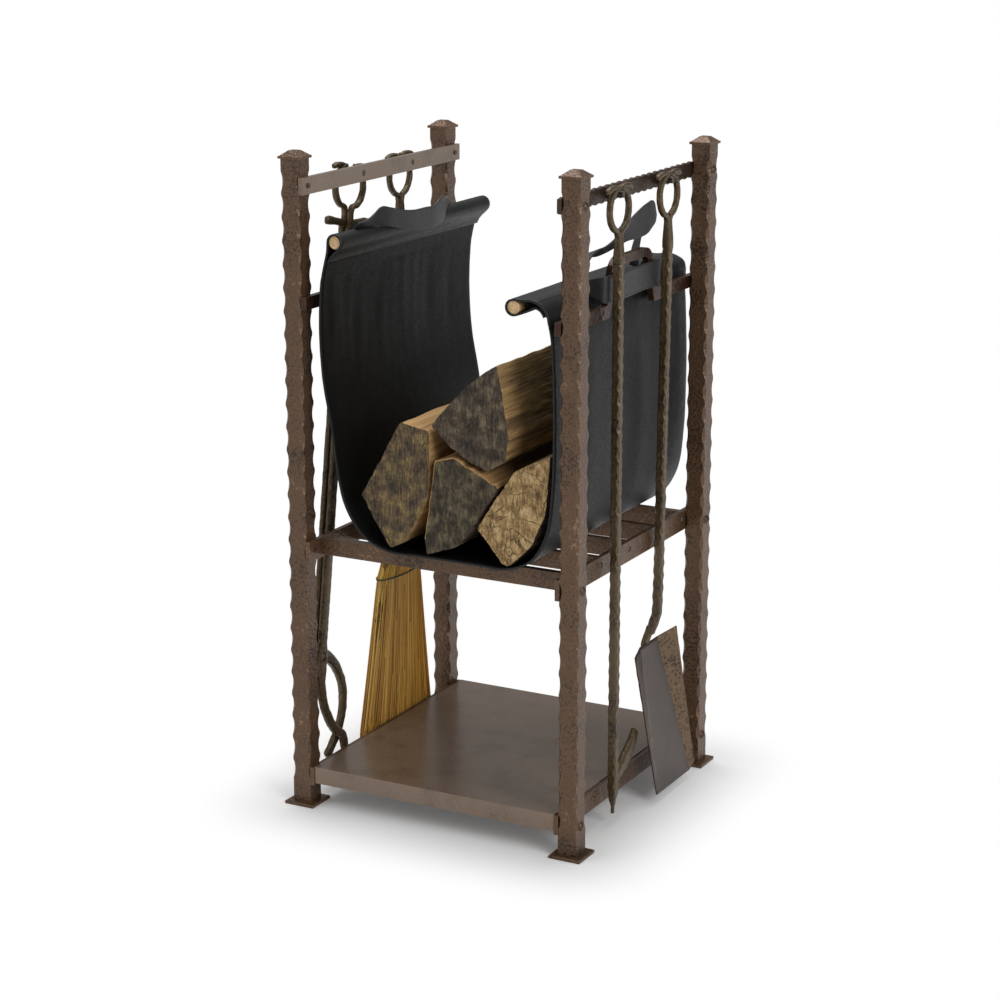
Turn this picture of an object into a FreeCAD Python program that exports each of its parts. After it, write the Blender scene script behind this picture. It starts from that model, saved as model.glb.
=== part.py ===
"""Firewood log rack with a leather log sling and four hanging fire tools.

Millimetres. X runs across the rack, Y runs from front to back, Z is up.
The origin is on the floor, midway between the four posts.
"""
import FreeCAD, Part
import math
import os

V = FreeCAD.Vector

# ---- frame -----------------------------------------------------------------
POST_SPACING_X = 380.0
POST_SPACING_Y = 364.0
RACK_HEIGHT = 838.0
POST_SIDE = 25.0
POST_WALL = 2.0
POST_BORE_ROUND = 3.0
SCALLOP_PITCH = 29.0
SCALLOP_LENGTH = 25.0
SCALLOP_DEPTH = 2.6
PLAIN_FOOT_LENGTH = 28.0
FOOT_SIDE = 42.0
FOOT_THICKNESS = 4.0
CAP_SIDE = 30.0
CAP_RIM = 3.0
CAP_RISE = 6.5
CAP_FLAT = 11.0
CAP_SPIGOT = 12.0
CAP_SPIGOT_GAP = 0.15

# ---- rails: height of the middle, depth (Z) and thickness (X) ---------------
RAIL_THICKNESS = 6.0
TOOL_RAIL_DROP = 42.0
TOOL_RAIL_DEPTH = 21.0
SHELF_RAIL_Z = 338.0
SHELF_RAIL_DEPTH = 26.0
BASE_RAIL_Z = 40.0
BASE_RAIL_DEPTH = 24.0
CARRIER_DROP = 143.0
CARRIER_DEPTH = 16.0
CARRIER_THICKNESS = 8.0
HUMP_FOOT_WIDTH = 150.0
HUMP_TOP_WIDTH = 108.0
HUMP_RISE = 55.0
HUMP_BAR = 11.0
HUMP_ROUND = 24.0

# ---- shelf slats and base tray ---------------------------------------------
SLAT_COUNT = 5
SLAT_DEPTH = 22.0
SLAT_THICKNESS = 10.0
SLAT_INSET = 28.0
TRAY_SHEET = 1.5
TRAY_SKIRT = 22.0
TRAY_SET_BACK = 1.5
TRAY_LIP = 1.0

# ---- fasteners ---------------------------------------------------------------
BOLT_RADIUS = 3.0
BOLT_HOLE_RADIUS = 3.2
BOLT_HEAD_RADIUS = 6.0
BOLT_HEAD_HEIGHT = 4.0
BOLT_TAIL = 1.5
SCREW_RADIUS = 2.0
SCREW_HOLE_RADIUS = 2.15
SCREW_HEAD_RADIUS = 4.0
SCREW_HEAD_HEIGHT = 2.2
SCREW_BITE = 12.0
TRAY_SCREW_OFFSET = 95.0

# ---- tool pegs ---------------------------------------------------------------
PEG_OFFSET_Y = 70.0
TONGS_PEG_OFFSET_Y = 52.0
PEG_RADIUS = 4.0
PEG_HOLE_GAP = 0.1
PEG_SHOULDER_RADIUS = 6.5
PEG_SHOULDER_LENGTH = 8.0
PEG_SHAFT_LENGTH = 12.0
PEG_HEAD_RADIUS = 9.0
PEG_HEAD_HEIGHT = 7.0
PEG_SEAT_GAP = 0.3

# ---- hanging loops, shared by the four tools ---------------------------------
LOOP_RADIUS = 26.0
LOOP_BAR = 7.0
LOOP_DEPTH = 8.0
LOOP_NECK_GAP = 2.4
HORN_REACH = 33.0
HORN_RISE = 3.0
STRAND_LENGTH = 22.0
COLLAR_WIDTH = 16.0
COLLAR_HEIGHT = 9.0
SHANK_SIDE = 11.0

# ---- poker -------------------------------------------------------------------
POKER_TIP_Z = 15.0
POKER_TAPER = 44.0
POKER_HOOK_START_Z = 62.0
POKER_HOOK_REACH = 72.0
POKER_HOOK_RISE = 44.0
POKER_HOOK_INSET = 7.0
POKER_HOOK_RADIUS = 4.2

# ---- shovel ------------------------------------------------------------------
SHOVEL_BEND_Z = 236.0
SHOVEL_SHANK_INSET = 4.0
BLADE_TOP_Z = 200.0
BLADE_BOTTOM_Z = 12.0
BLADE_TOP_INSET = 6.0
BLADE_BOTTOM_REACH = 33.5
BLADE_TOP_HALF = 25.0
BLADE_BOTTOM_HALF = 53.0
BLADE_WALL_SPREAD = 36.0
BLADE_WALL_LIFT = 20.0
BLADE_LIP_SHARE = 0.08
BLADE_SHEET = 2.0
BLADE_TONGUE = 46.0
BLADE_RIVET_RADIUS = 3.0
BLADE_RIVET_PLACES = (18.0, 36.0)
BLADE_TONGUE_TIP = 4.0

# ---- tongs -------------------------------------------------------------------
TONGS_ARM_THICKNESS = 8.6
TONGS_ARM_WIDTH = 12.0
TONGS_ARM_GAP = 0.4
TONGS_PIVOT_Z = 178.0
TONGS_KNUCKLE_RADIUS = 11.0
TONGS_RIVET_RADIUS = 3.5
TONGS_RIVET_GAP = 0.05
TONGS_RIVET_HEAD_RADIUS = 6.5
TONGS_RIVET_HEAD_HEIGHT = 2.6
TONGS_JAW_WIDTH = 12.0
TONGS_POST_GAP = 22.5
TONGS_PEG_GAP = 0.8
# Middle lines of the outer (-1) and inner (1) jaws: across and below the rivet.
TONGS_BELLIES = {-1: (75.0, 62.0), 1: (9.0, 56.0)}
TONGS_CROSSING = (65.0, 113.0)
TONGS_TIPS = {-1: (42.0, 142.0), 1: (74.0, 134.0)}
GRIP_REACH = 43.0
GRIP_HEIGHT = 12.0
GRIP_DROP = 62.0

# ---- broom -------------------------------------------------------------------
FERRULE_TOP_Z = 352.0
FERRULE_HEIGHT = 24.0
FERRULE_HALF_Y = 17.0
FERRULE_HALF_X = 11.0
BRISTLE_BOTTOM_Z = 20.0
BRISTLE_POST_GAP = 21.5
BRISTLE_BOTTOM_HALF_X = 18.0
BRISTLE_BOTTOM_SHIFT_Y = -12.0
BRISTLE_BOTTOM_SHIFT_X = 8.0
BRISTLE_BAND_Z = 246.0
BRISTLE_BAND_HALF_Y = 53.0
BRISTLE_BAND_HALF_X = 14.5
BRISTLE_BAND_SHIFT_Y = -13.0
STITCH_RADIUS = 0.9

# ---- leather sling -----------------------------------------------------------
LEATHER = 2.5
SLING_END_INSET = 6.5
SLING_REST_GAP = 0.3
SLING_SIDE_GAP = 2.0
DOWEL_RADIUS = 8.0
DOWEL_INSET = 2.0
HEM_LEFT_INSET = 35.0
HEM_LEFT_RISE = 69.0
HEM_RIGHT_INSET = 56.0
HEM_RIGHT_RISE = 11.4
BELT_LOOP_THICKNESS = 2.5
BELT_LOOP_GAP = 1.0
BELT_LOOP_RISE = 37.0
BELT_LOOP_WIDTH = 34.0
BELT_LOOP_MARGIN = 2.0
BELT_TAB_LIFT = 3.0
BELT_TAB_WIDTH = 14.0
BELT_TAB_STEPS = 7
SEAM_GAP = 0.05
STRAP_THICKNESS = 3.0
STRAP_LEFT_WIDTH = 30.0
STRAP_LEFT_DROP = 7.0
STRAP_LEFT_SPAN = (-94.0, 104.0)
STRAP_LEFT_BULGE = 12.0
STRAP_RIGHT_INSET = 17.5
# The right strap seen along X: distance from the middle, height above the dowel; its feet come first.
STRAP_RIGHT_FEET = (-112.0, -100.0, 57.0, 77.0)
STRAP_RIGHT_LOWER = [(-80, 36), (-63, 47), (-41, 40), (-19, 39), (-5, 42), (29, 46), (57, 47)]
STRAP_RIGHT_UPPER = [(77, 48), (84, 48), (107, 54), (134, 63), (126, 81), (118, 86), (107, 89), (91, 87),
                     (64, 83), (35, 71), (14, 65), (-8, 58), (-36, 53), (-68, 51), (-96, 34)]

# The sling's walls and the logs are drawn for a sling this wide and tall, and fitted to the rack.
# Each point is its distance from the middle and its height above the shelf or the sling's floor.
DRAWN_HALF_WIDTH = 167.5
DRAWN_HEIGHT = 310.0
SLING_LEFT_WALL = [(-152.5, 329), (-155.5, 269), (-152.5, 209), (-141.5, 149), (-134, 93), (-122, 49),
                   (-98, 16), (-62, 0)]
SLING_RIGHT_WALL = [(104, 0), (136, 15), (157, 49), (165, 99), (167.5, 179), (166, 249), (163, 295),
                    (154.5, 321), (138.5, 332)]

# ---- firewood: corners of each split log, and how far its ends stop inside the sling
LOG_REST_GAP = 0.5
LOG_SECTIONS = {
    "log_left": ([(-46, 164), (-103, 64), (-62, 1), (-41, 10), (-6, 73), (-4, 156)], (4, 12)),
    "log_middle": ([(3, 121), (-12, 19), (-9, 0), (33, 15), (55, 40), (90, 96), (86, 101), (29, 128)],
                   (3, 20)),
    "log_upper": ([(-4, 162), (21, 139), (55, 121), (75, 114), (99, 129), (105, 156), (99, 192),
                   (88, 247), (75, 239), (47, 218), (23, 194)], (5, 6)),
    "log_right": ([(60, 42), (95, 2), (104, 0), (137, 32), (155, 75), (160, 144), (112, 121), (79, 73)],
                  (4, 16)),
}

# ---- sizes that follow from the ones above -----------------------------------
POST_X = POST_SPACING_X / 2
POST_Y = POST_SPACING_Y / 2
POST_HALF = POST_SIDE / 2
CAP_HEIGHT = CAP_RIM + CAP_RISE
POST_TOP = RACK_HEIGHT - CAP_HEIGHT
TOOL_RAIL_Z = RACK_HEIGHT - TOOL_RAIL_DROP
CARRIER_Z = TOOL_RAIL_Z - CARRIER_DROP
RAIL_FACE = POST_X - POST_HALF
RAIL_INNER = RAIL_FACE - RAIL_THICKNESS
RAIL_HALF_LENGTH = POST_Y + POST_HALF
CARRIER_TOP = CARRIER_Z + CARRIER_DEPTH / 2
HUMP_TOP = CARRIER_TOP + HUMP_RISE
SHELF_TOP = SHELF_RAIL_Z + SHELF_RAIL_DEPTH / 2
TRAY_TOP = BASE_RAIL_Z + BASE_RAIL_DEPTH / 2 + TRAY_LIP
PEG_Z = TOOL_RAIL_Z
PEG_SHOULDER_X = RAIL_FACE + PEG_SHOULDER_LENGTH
PEG_HEAD_X = PEG_SHOULDER_X + PEG_SHAFT_LENGTH
TOOL_X = (PEG_SHOULDER_X + PEG_HEAD_X) / 2
LOOP_CENTRE_Z = PEG_Z + PEG_RADIUS + PEG_SEAT_GAP + LOOP_BAR / 2 - LOOP_RADIUS
CROTCH_Z = LOOP_CENTRE_Z - LOOP_RADIUS
COLLAR_Z = CROTCH_Z - STRAND_LENGTH
BLADE_TOP_X = RAIL_FACE - BLADE_TOP_INSET
BLADE_BOTTOM_X = RAIL_FACE + BLADE_BOTTOM_REACH
TONGS_LEAN_DEG = math.degrees(math.asin(
    (POST_Y - POST_HALF - TONGS_POST_GAP - TONGS_PEG_OFFSET_Y) / (PEG_Z - TONGS_PIVOT_Z)))
# The pegs of each side, from front to back.
PEG_PLACES = {-1: (-TONGS_PEG_OFFSET_Y, PEG_OFFSET_Y), 1: (-PEG_OFFSET_Y, PEG_OFFSET_Y)}
BRISTLE_BOTTOM_Y = PEG_OFFSET_Y + BRISTLE_BOTTOM_SHIFT_Y
BRISTLE_BOTTOM_HALF_Y = POST_Y - POST_HALF - BRISTLE_POST_GAP - BRISTLE_BOTTOM_Y
SLING_HALF_LENGTH = RAIL_HALF_LENGTH - SLING_END_INSET
SLING_WALL_X = RAIL_FACE - CARRIER_THICKNESS - SLING_SIDE_GAP
SLING_BOTTOM = SHELF_TOP + SLING_REST_GAP
DOWEL_HALF_LENGTH = SLING_HALF_LENGTH - DOWEL_INSET
HEM_RADIUS = DOWEL_RADIUS + LEATHER
HEM_LEFT = (HEM_LEFT_INSET - SLING_WALL_X, CARRIER_TOP + HEM_LEFT_RISE)
HEM_RIGHT = (SLING_WALL_X - HEM_RIGHT_INSET, CARRIER_TOP + HEM_RIGHT_RISE)
BELT_LOOP_X = RAIL_FACE + BELT_LOOP_GAP
BELT_LOOP_TOP_Z = CARRIER_TOP + BELT_LOOP_RISE


# ---- shape helpers -----------------------------------------------------------
def block(x0, x1, y0, y1, z0, z1):
    """A box between two corners, given in any order."""
    low = V(min(x0, x1), min(y0, y1), min(z0, z1))
    return Part.makeBox(abs(x1 - x0), abs(y1 - y0), abs(z1 - z0), low)


def rod_x(x0, x1, y, z, radius):
    """A round rod along X."""
    return Part.makeCylinder(radius, abs(x1 - x0), V(min(x0, x1), y, z), V(1, 0, 0))


def dome_x(x, outward, y, z, radius, height):
    """A domed head whose flat side lies at x and whose crown points outward."""
    sphere_radius = (radius ** 2 + height ** 2) / (2 * height)
    ball = Part.makeSphere(sphere_radius, V(x - outward * (sphere_radius - height), y, z))
    return ball.common(block(x, x + outward * height * 1.01, y - radius, y + radius, z - radius, z + radius))


def plate(points, thickness):
    """A flat polygon given thickness along one vector."""
    outline = Part.makePolygon(list(points) + [points[0]])
    return Part.Face(outline).extrude(thickness)


def prism_x(points_yz, x0, x1):
    """A polygon in the YZ plane, extruded between two X planes."""
    return plate([V(min(x0, x1), y, z) for y, z in points_yz], V(abs(x1 - x0), 0, 0))


def prism_y(points_xz, y0, y1):
    """A polygon in the XZ plane, extruded between two Y planes."""
    return plate([V(x, y0, z) for x, z in points_xz], V(0, y1 - y0, 0))


def bar_x(start, end, width, x0, x1):
    """A straight flat bar from start to end in the YZ plane, with rounded ends."""
    across = V(0, start[1] - end[1], end[0] - start[0]).normalize() * (width / 2)
    corners = []
    for point, side in ((start, 1), (end, 1), (end, -1), (start, -1)):
        corners.append((point[0] + side * across.y, point[1] + side * across.z))
    bar = prism_x(corners, x0, x1)
    return fuse([bar] + [rod_x(x0, x1, y, z, width / 2) for y, z in (start, end)])


def arc_bar_x(start, middle, end, width, x0, x1, round_ends=True):
    """A flat bar that follows an arc through three points of the YZ plane."""
    low = min(x0, x1)
    circle = Part.Arc(V(low, *start), V(low, *middle), V(low, *end)).toShape().Curve
    centre, radius = circle.Center, circle.Radius

    def at(point, distance):
        return centre + (V(low, *point) - centre).normalize() * distance

    outer, inner = radius + width / 2, radius - width / 2
    edges = [
        Part.Arc(at(start, outer), at(middle, outer), at(end, outer)).toShape(),
        Part.LineSegment(at(end, outer), at(end, inner)).toShape(),
        Part.Arc(at(end, inner), at(middle, inner), at(start, inner)).toShape(),
        Part.LineSegment(at(start, inner), at(start, outer)).toShape(),
    ]
    bar = Part.Face(Part.Wire(edges)).extrude(V(abs(x1 - x0), 0, 0))
    if not round_ends:
        return bar
    return fuse([bar] + [rod_x(x0, x1, y, z, width / 2) for y, z in (start, end)])


def fuse(shapes):
    """One solid out of overlapping or touching shapes."""
    first, rest = shapes[0], shapes[1:]
    if not rest:
        return first
    return first.fuse(rest).removeSplitter()


def group(shapes):
    """Separate solids kept together as one node."""
    return Part.makeCompound(shapes)


def mirror_x(shape):
    """The same piece on the other side of the rack."""
    return shape.mirror(V(0, 0, 0), V(1, 0, 0))


def circle_on(radius, centre_angle):
    """Y and Z of a point on the hanging loop, by its angle from straight up."""
    angle = math.radians(centre_angle)
    return radius * math.sin(angle), LOOP_CENTRE_Z + radius * math.cos(angle)


PARTS = {}


def add(name, shape):
    """Keep a finished sub-part under its node name."""
    PARTS[name] = shape


# ---- posts, caps and feet ----------------------------------------------------
def scalloped_post():
    """A square tube whose four corner edges are scooped at an even pitch."""
    outer = block(-POST_HALF, POST_HALF, -POST_HALF, POST_HALF, FOOT_THICKNESS, POST_TOP)
    half_bore = POST_HALF - POST_WALL
    bore = block(-half_bore, half_bore, -half_bore, half_bore, FOOT_THICKNESS, POST_TOP)
    upright = [edge for edge in bore.Edges if abs(edge.tangentAt(edge.FirstParameter).z) > 0.9]
    bore = bore.makeFillet(POST_BORE_ROUND, upright)
    radius = (SCALLOP_LENGTH ** 2 / 4 + SCALLOP_DEPTH ** 2) / (2 * SCALLOP_DEPTH)
    corner = POST_HALF * math.sqrt(2)
    first = FOOT_THICKNESS + PLAIN_FOOT_LENGTH + SCALLOP_PITCH / 2
    count = int((POST_TOP - first - SCALLOP_LENGTH / 2) / SCALLOP_PITCH) + 1
    reach = POST_SIDE / 2
    scoops = []
    for sx, sy in ((1, 1), (-1, 1), (-1, -1), (1, -1)):
        out = V(sx, sy, 0).normalize()
        along = V(-out.y, out.x, 0)
        for index in range(count):
            centre = out * (corner - SCALLOP_DEPTH + radius) + V(0, 0, first + index * SCALLOP_PITCH)
            scoops.append(Part.makeCylinder(radius, 2 * reach, centre - along * reach, along))
    return outer.cut([bore] + scoops)


def post_cap():
    """A thin square flange under a low pyramid, with a spigot for the tube."""
    flange = block(-CAP_SIDE / 2, CAP_SIDE / 2, -CAP_SIDE / 2, CAP_SIDE / 2, POST_TOP, POST_TOP + CAP_RIM)
    levels = []
    for half, z in ((CAP_SIDE / 2 - 1, POST_TOP + CAP_RIM), (CAP_FLAT / 2, RACK_HEIGHT)):
        corners = [V(-half, -half, z), V(half, -half, z), V(half, half, z), V(-half, half, z)]
        levels.append(Part.makePolygon(corners + corners[:1]))
    pyramid = Part.makeLoft(levels, True, True)
    half = POST_HALF - POST_WALL - CAP_SPIGOT_GAP
    spigot = block(-half, half, -half, half, POST_TOP - CAP_SPIGOT, POST_TOP)
    upright = [edge for edge in spigot.Edges if abs(edge.tangentAt(edge.FirstParameter).z) > 0.9]
    return fuse([flange, pyramid, spigot.makeFillet(POST_BORE_ROUND, upright)])


def foot_plate():
    """A flat square plate under each post, with eased upper edges."""
    half = FOOT_SIDE / 2
    base = block(-half, half, -half, half, 0, FOOT_THICKNESS)
    top = [edge for edge in base.Edges if edge.BoundBox.ZMin > FOOT_THICKNESS - 0.01]
    return base.makeChamfer(FOOT_THICKNESS / 4, top)


BOLTED_RAILS = {"tool": TOOL_RAIL_Z, "shelf": SHELF_RAIL_Z, "base": BASE_RAIL_Z}
CORNERS = {
    "front_left": (-1, -1),
    "front_right": (1, -1),
    "back_right": (1, 1),
    "back_left": (-1, 1),
}


def bolt_holes(side, radius, y_places, z_places, x_reach):
    """Rods that drill through one side of the rack along X."""
    drills = []
    for z in z_places:
        for y in y_places:
            drills.append(rod_x(side * (RAIL_INNER - x_reach), side * (POST_X + POST_SIDE), y, z, radius))
    return drills


def build_posts():
    post, cap, foot = scalloped_post(), post_cap(), foot_plate()
    for corner, (sx, sy) in CORNERS.items():
        place = V(sx * POST_X, sy * POST_Y, 0)
        upright = post.copy()
        upright.translate(place)
        holes = bolt_holes(sx, BOLT_HOLE_RADIUS, [sy * POST_Y], BOLTED_RAILS.values(), 0)
        add("post_" + corner, upright.cut(holes))
        for name, piece in (("cap_", cap), ("foot_", foot)):
            copy = piece.copy()
            copy.translate(place)
            add(name + corner, copy)


# ---- rails -------------------------------------------------------------------
def flat_rail(side, z, depth):
    """A flat bar on the inner faces of two posts, drilled for its two bolts."""
    bar = block(side * RAIL_INNER, side * RAIL_FACE, -RAIL_HALF_LENGTH, RAIL_HALF_LENGTH,
                z - depth / 2, z + depth / 2)
    return bar.cut(bolt_holes(side, BOLT_HOLE_RADIUS, [-POST_Y, POST_Y], [z], 1))


def slat_places():
    """Y of the middle of each slat, evenly spaced between the front and the back one."""
    first = -RAIL_HALF_LENGTH + SLAT_INSET + SLAT_THICKNESS / 2
    step = -2 * first / (SLAT_COUNT - 1)
    return [first + index * step for index in range(SLAT_COUNT)]


def carrier_bar():
    """A bar from post to post that rises in a hump, over which the sling's loop drops."""
    x0, x1 = RAIL_FACE - CARRIER_THICKNESS, RAIL_FACE
    foot, top = HUMP_FOOT_WIDTH / 2, HUMP_TOP_WIDTH / 2
    low, mid = CARRIER_Z - CARRIER_DEPTH / 2, CARRIER_TOP

    def trapezium(shrink, z0, z1):
        solid = prism_x([(-foot + shrink, z0), (foot - shrink, z0), (top - shrink, z1), (-top + shrink, z1)],
                        x0, x1)
        crown = [edge for edge in solid.Edges
                 if edge.BoundBox.ZMin > z1 - 0.01 and edge.BoundBox.XLength > CARRIER_THICKNESS / 2]
        return solid.makeFillet(HUMP_ROUND - shrink, crown)

    hump = trapezium(0, low, HUMP_TOP).cut(trapezium(HUMP_BAR, low - 1, HUMP_TOP - HUMP_BAR))
    ends = []
    for sy in (-1, 1):
        ends.append(block(x0, x1, sy * (foot - HUMP_BAR / 2), sy * RAIL_HALF_LENGTH, low, mid))
    return fuse([hump] + ends)


def build_rails():
    for side, name in ((-1, "left"), (1, "right")):
        tool_rail = flat_rail(side, TOOL_RAIL_Z, TOOL_RAIL_DEPTH)
        peg_holes = bolt_holes(side, PEG_RADIUS + PEG_HOLE_GAP, PEG_PLACES[side], [PEG_Z], 1)
        add("tool_rail_" + name, tool_rail.cut(peg_holes))
        shelf_rail = flat_rail(side, SHELF_RAIL_Z, SHELF_RAIL_DEPTH)
        slat_holes = bolt_holes(side, SCREW_HOLE_RADIUS, slat_places(), [SHELF_TOP - SLAT_DEPTH / 2], 1)
        add("shelf_rail_" + name, shelf_rail.cut(slat_holes))
        base_rail = flat_rail(side, BASE_RAIL_Z, BASE_RAIL_DEPTH)
        tray_holes = bolt_holes(side, SCREW_HOLE_RADIUS, [-TRAY_SCREW_OFFSET, TRAY_SCREW_OFFSET],
                                [BASE_RAIL_Z], 1)
        add("base_rail_" + name, base_rail.cut(tray_holes))
    right_bar = carrier_bar()
    add("carrier_bar_right", right_bar)
    add("carrier_bar_left", mirror_x(right_bar))


def build_slats():
    z0, z1 = SHELF_TOP - SLAT_DEPTH, SHELF_TOP
    for number, y in enumerate(slat_places(), start=1):
        slat = block(-RAIL_INNER, RAIL_INNER, y - SLAT_THICKNESS / 2, y + SLAT_THICKNESS / 2, z0, z1)
        holes = []
        for side in (-1, 1):
            holes.append(rod_x(side * (RAIL_INNER - SCREW_BITE), side * RAIL_INNER, y, (z0 + z1) / 2,
                               SCREW_HOLE_RADIUS))
        add("shelf_slat_%d" % number, slat.cut(holes))


def build_tray():
    """A sheet folded down on all four sides, between the base rails."""
    half_y = RAIL_HALF_LENGTH - TRAY_SET_BACK
    outer = block(-RAIL_INNER, RAIL_INNER, -half_y, half_y, TRAY_TOP - TRAY_SKIRT, TRAY_TOP)
    inner = block(-RAIL_INNER + TRAY_SHEET, RAIL_INNER - TRAY_SHEET, -half_y + TRAY_SHEET,
                  half_y - TRAY_SHEET, TRAY_TOP - TRAY_SKIRT, TRAY_TOP - TRAY_SHEET)
    holes = []
    for side in (-1, 1):
        holes += bolt_holes(side, SCREW_HOLE_RADIUS, [-TRAY_SCREW_OFFSET, TRAY_SCREW_OFFSET], [BASE_RAIL_Z],
                            TRAY_SHEET + 1)
        holes += bolt_holes(side, BOLT_HOLE_RADIUS, [-POST_Y, POST_Y], [BASE_RAIL_Z], TRAY_SHEET + 1)
    add("base_tray", outer.cut([inner] + holes))


# ---- fasteners ---------------------------------------------------------------
def frame_bolt(side, y, z):
    """A domed bolt through the post and the rail behind it."""
    face = POST_X + POST_HALF
    shank = rod_x(side * (RAIL_INNER - BOLT_TAIL), side * face, y, z, BOLT_RADIUS)
    return fuse([shank, dome_x(side * face, side, y, z, BOLT_HEAD_RADIUS, BOLT_HEAD_HEIGHT)])


def rail_screw(side, y, z, bite):
    """A small screw through a rail into the slat or tray beside it."""
    shank = rod_x(side * (RAIL_INNER - bite), side * RAIL_FACE, y, z, SCREW_RADIUS)
    return fuse([shank, dome_x(side * RAIL_FACE, side, y, z, SCREW_HEAD_RADIUS, SCREW_HEAD_HEIGHT)])


def build_fasteners():
    for side, name in ((-1, "left"), (1, "right")):
        bolts = []
        for z in BOLTED_RAILS.values():
            for y in (-POST_Y, POST_Y):
                bolts.append(frame_bolt(side, y, z))
        add("frame_bolts_" + name, group(bolts))
    slat_screws, tray_screws = [], []
    for side in (-1, 1):
        for y in slat_places():
            slat_screws.append(rail_screw(side, y, SHELF_TOP - SLAT_DEPTH / 2, SCREW_BITE))
        for y in (-TRAY_SCREW_OFFSET, TRAY_SCREW_OFFSET):
            tray_screws.append(rail_screw(side, y, BASE_RAIL_Z, TRAY_SHEET + 1))
    add("slat_screws", group(slat_screws))
    add("tray_screws", group(tray_screws))


def peg(side, y, shoulder_x=PEG_SHOULDER_X, head_x=PEG_HEAD_X):
    """A shouldered peg riveted through the tool rail, with a domed head."""
    spigot = rod_x(side * RAIL_INNER, side * shoulder_x, y, PEG_Z, PEG_RADIUS)
    shoulder = rod_x(side * RAIL_FACE, side * shoulder_x, y, PEG_Z, PEG_SHOULDER_RADIUS)
    shaft = rod_x(side * shoulder_x, side * head_x, y, PEG_Z, PEG_RADIUS)
    head = dome_x(side * head_x, side, y, PEG_Z, PEG_HEAD_RADIUS, PEG_HEAD_HEIGHT)
    return fuse([spigot, shoulder, shaft, head])


# ---- hanging loops -----------------------------------------------------------
def loop_half(hand, y, x0, x1):
    """One side of a hanging loop: the bowed arm, its horn, and its strand down to the collar."""
    neck_angle = math.degrees((LOOP_NECK_GAP / 2 + LOOP_BAR / 2) / LOOP_RADIUS)
    neck, side, foot = (circle_on(LOOP_RADIUS, angle) for angle in (neck_angle, 95, 172))
    arm = arc_bar_x(*[(y + hand * p[0], p[1]) for p in (neck, side, foot)], LOOP_BAR, x0, x1)
    tip = (y + hand * HORN_REACH, neck[1] + 1)
    crown = (y + hand * (HORN_REACH + neck[0]) / 2, neck[1] + HORN_RISE)
    horn = arc_bar_x((y + hand * neck[0], neck[1]), crown, tip, LOOP_BAR * 0.8, x0, x1)
    strand_width = LOOP_BAR * 0.85
    strand_y = y + hand * strand_width / 2
    strand = bar_x((strand_y, CROTCH_Z + LOOP_BAR / 2), (strand_y, COLLAR_Z), strand_width, x0, x1)
    return [arm, horn, strand]


def hanging_loop(side, y):
    """The whole loop of a one-piece tool, down to the top of its collar."""
    x0, x1 = side * (TOOL_X - LOOP_DEPTH / 2), side * (TOOL_X + LOOP_DEPTH / 2)
    collar = block(side * (TOOL_X - COLLAR_WIDTH / 2), side * (TOOL_X + COLLAR_WIDTH / 2),
                   y - COLLAR_WIDTH / 2, y + COLLAR_WIDTH / 2,
                   COLLAR_Z - COLLAR_HEIGHT, COLLAR_Z)
    collar = collar.makeFillet(COLLAR_HEIGHT * 0.3, collar.Edges)
    return fuse(loop_half(-1, y, x0, x1) + loop_half(1, y, x0, x1) + [collar])


def square_bar(start, end, side_start, side_end):
    """A square bar between two points of one XZ plane or an upright line, which may taper."""
    levels = []
    for point, size in ((start, side_start), (end, side_end)):
        half = size / 2
        corners = [point + V(dx * half, dy * half, 0) for dx, dy in ((-1, -1), (1, -1), (1, 1), (-1, 1))]
        levels.append(Part.makePolygon(corners + corners[:1]))
    return Part.makeLoft(levels, True, True)


# ---- poker -------------------------------------------------------------------
def build_poker():
    y = -PEG_OFFSET_Y
    top = COLLAR_Z - COLLAR_HEIGHT
    taper_z = POKER_TIP_Z + POKER_TAPER
    upper = square_bar(V(TOOL_X, y, top), V(TOOL_X, y, taper_z), SHANK_SIDE, SHANK_SIDE)
    point = square_bar(V(TOOL_X, y, taper_z), V(TOOL_X, y, POKER_TIP_Z), SHANK_SIDE, 2.5)
    start = V(TOOL_X, y, POKER_HOOK_START_Z)
    middle = start + V(-POKER_HOOK_INSET * 0.5, POKER_HOOK_REACH * 0.6, POKER_HOOK_RISE * 0.3)
    end = start + V(-POKER_HOOK_INSET, POKER_HOOK_REACH, POKER_HOOK_RISE)
    path = Part.Wire([Part.Arc(start, middle, end).toShape()])
    profile = Part.Wire([Part.makeCircle(POKER_HOOK_RADIUS, start, path.Edges[0].tangentAt(0))])
    shank = fuse([upper, point])
    hook = path.makePipeShell([profile], True, True).cut(shank)
    add("poker_loop", hanging_loop(1, y))
    add("poker_shank", shank)
    add("poker_hook", hook)
    add("peg_poker", peg(1, y))


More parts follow.
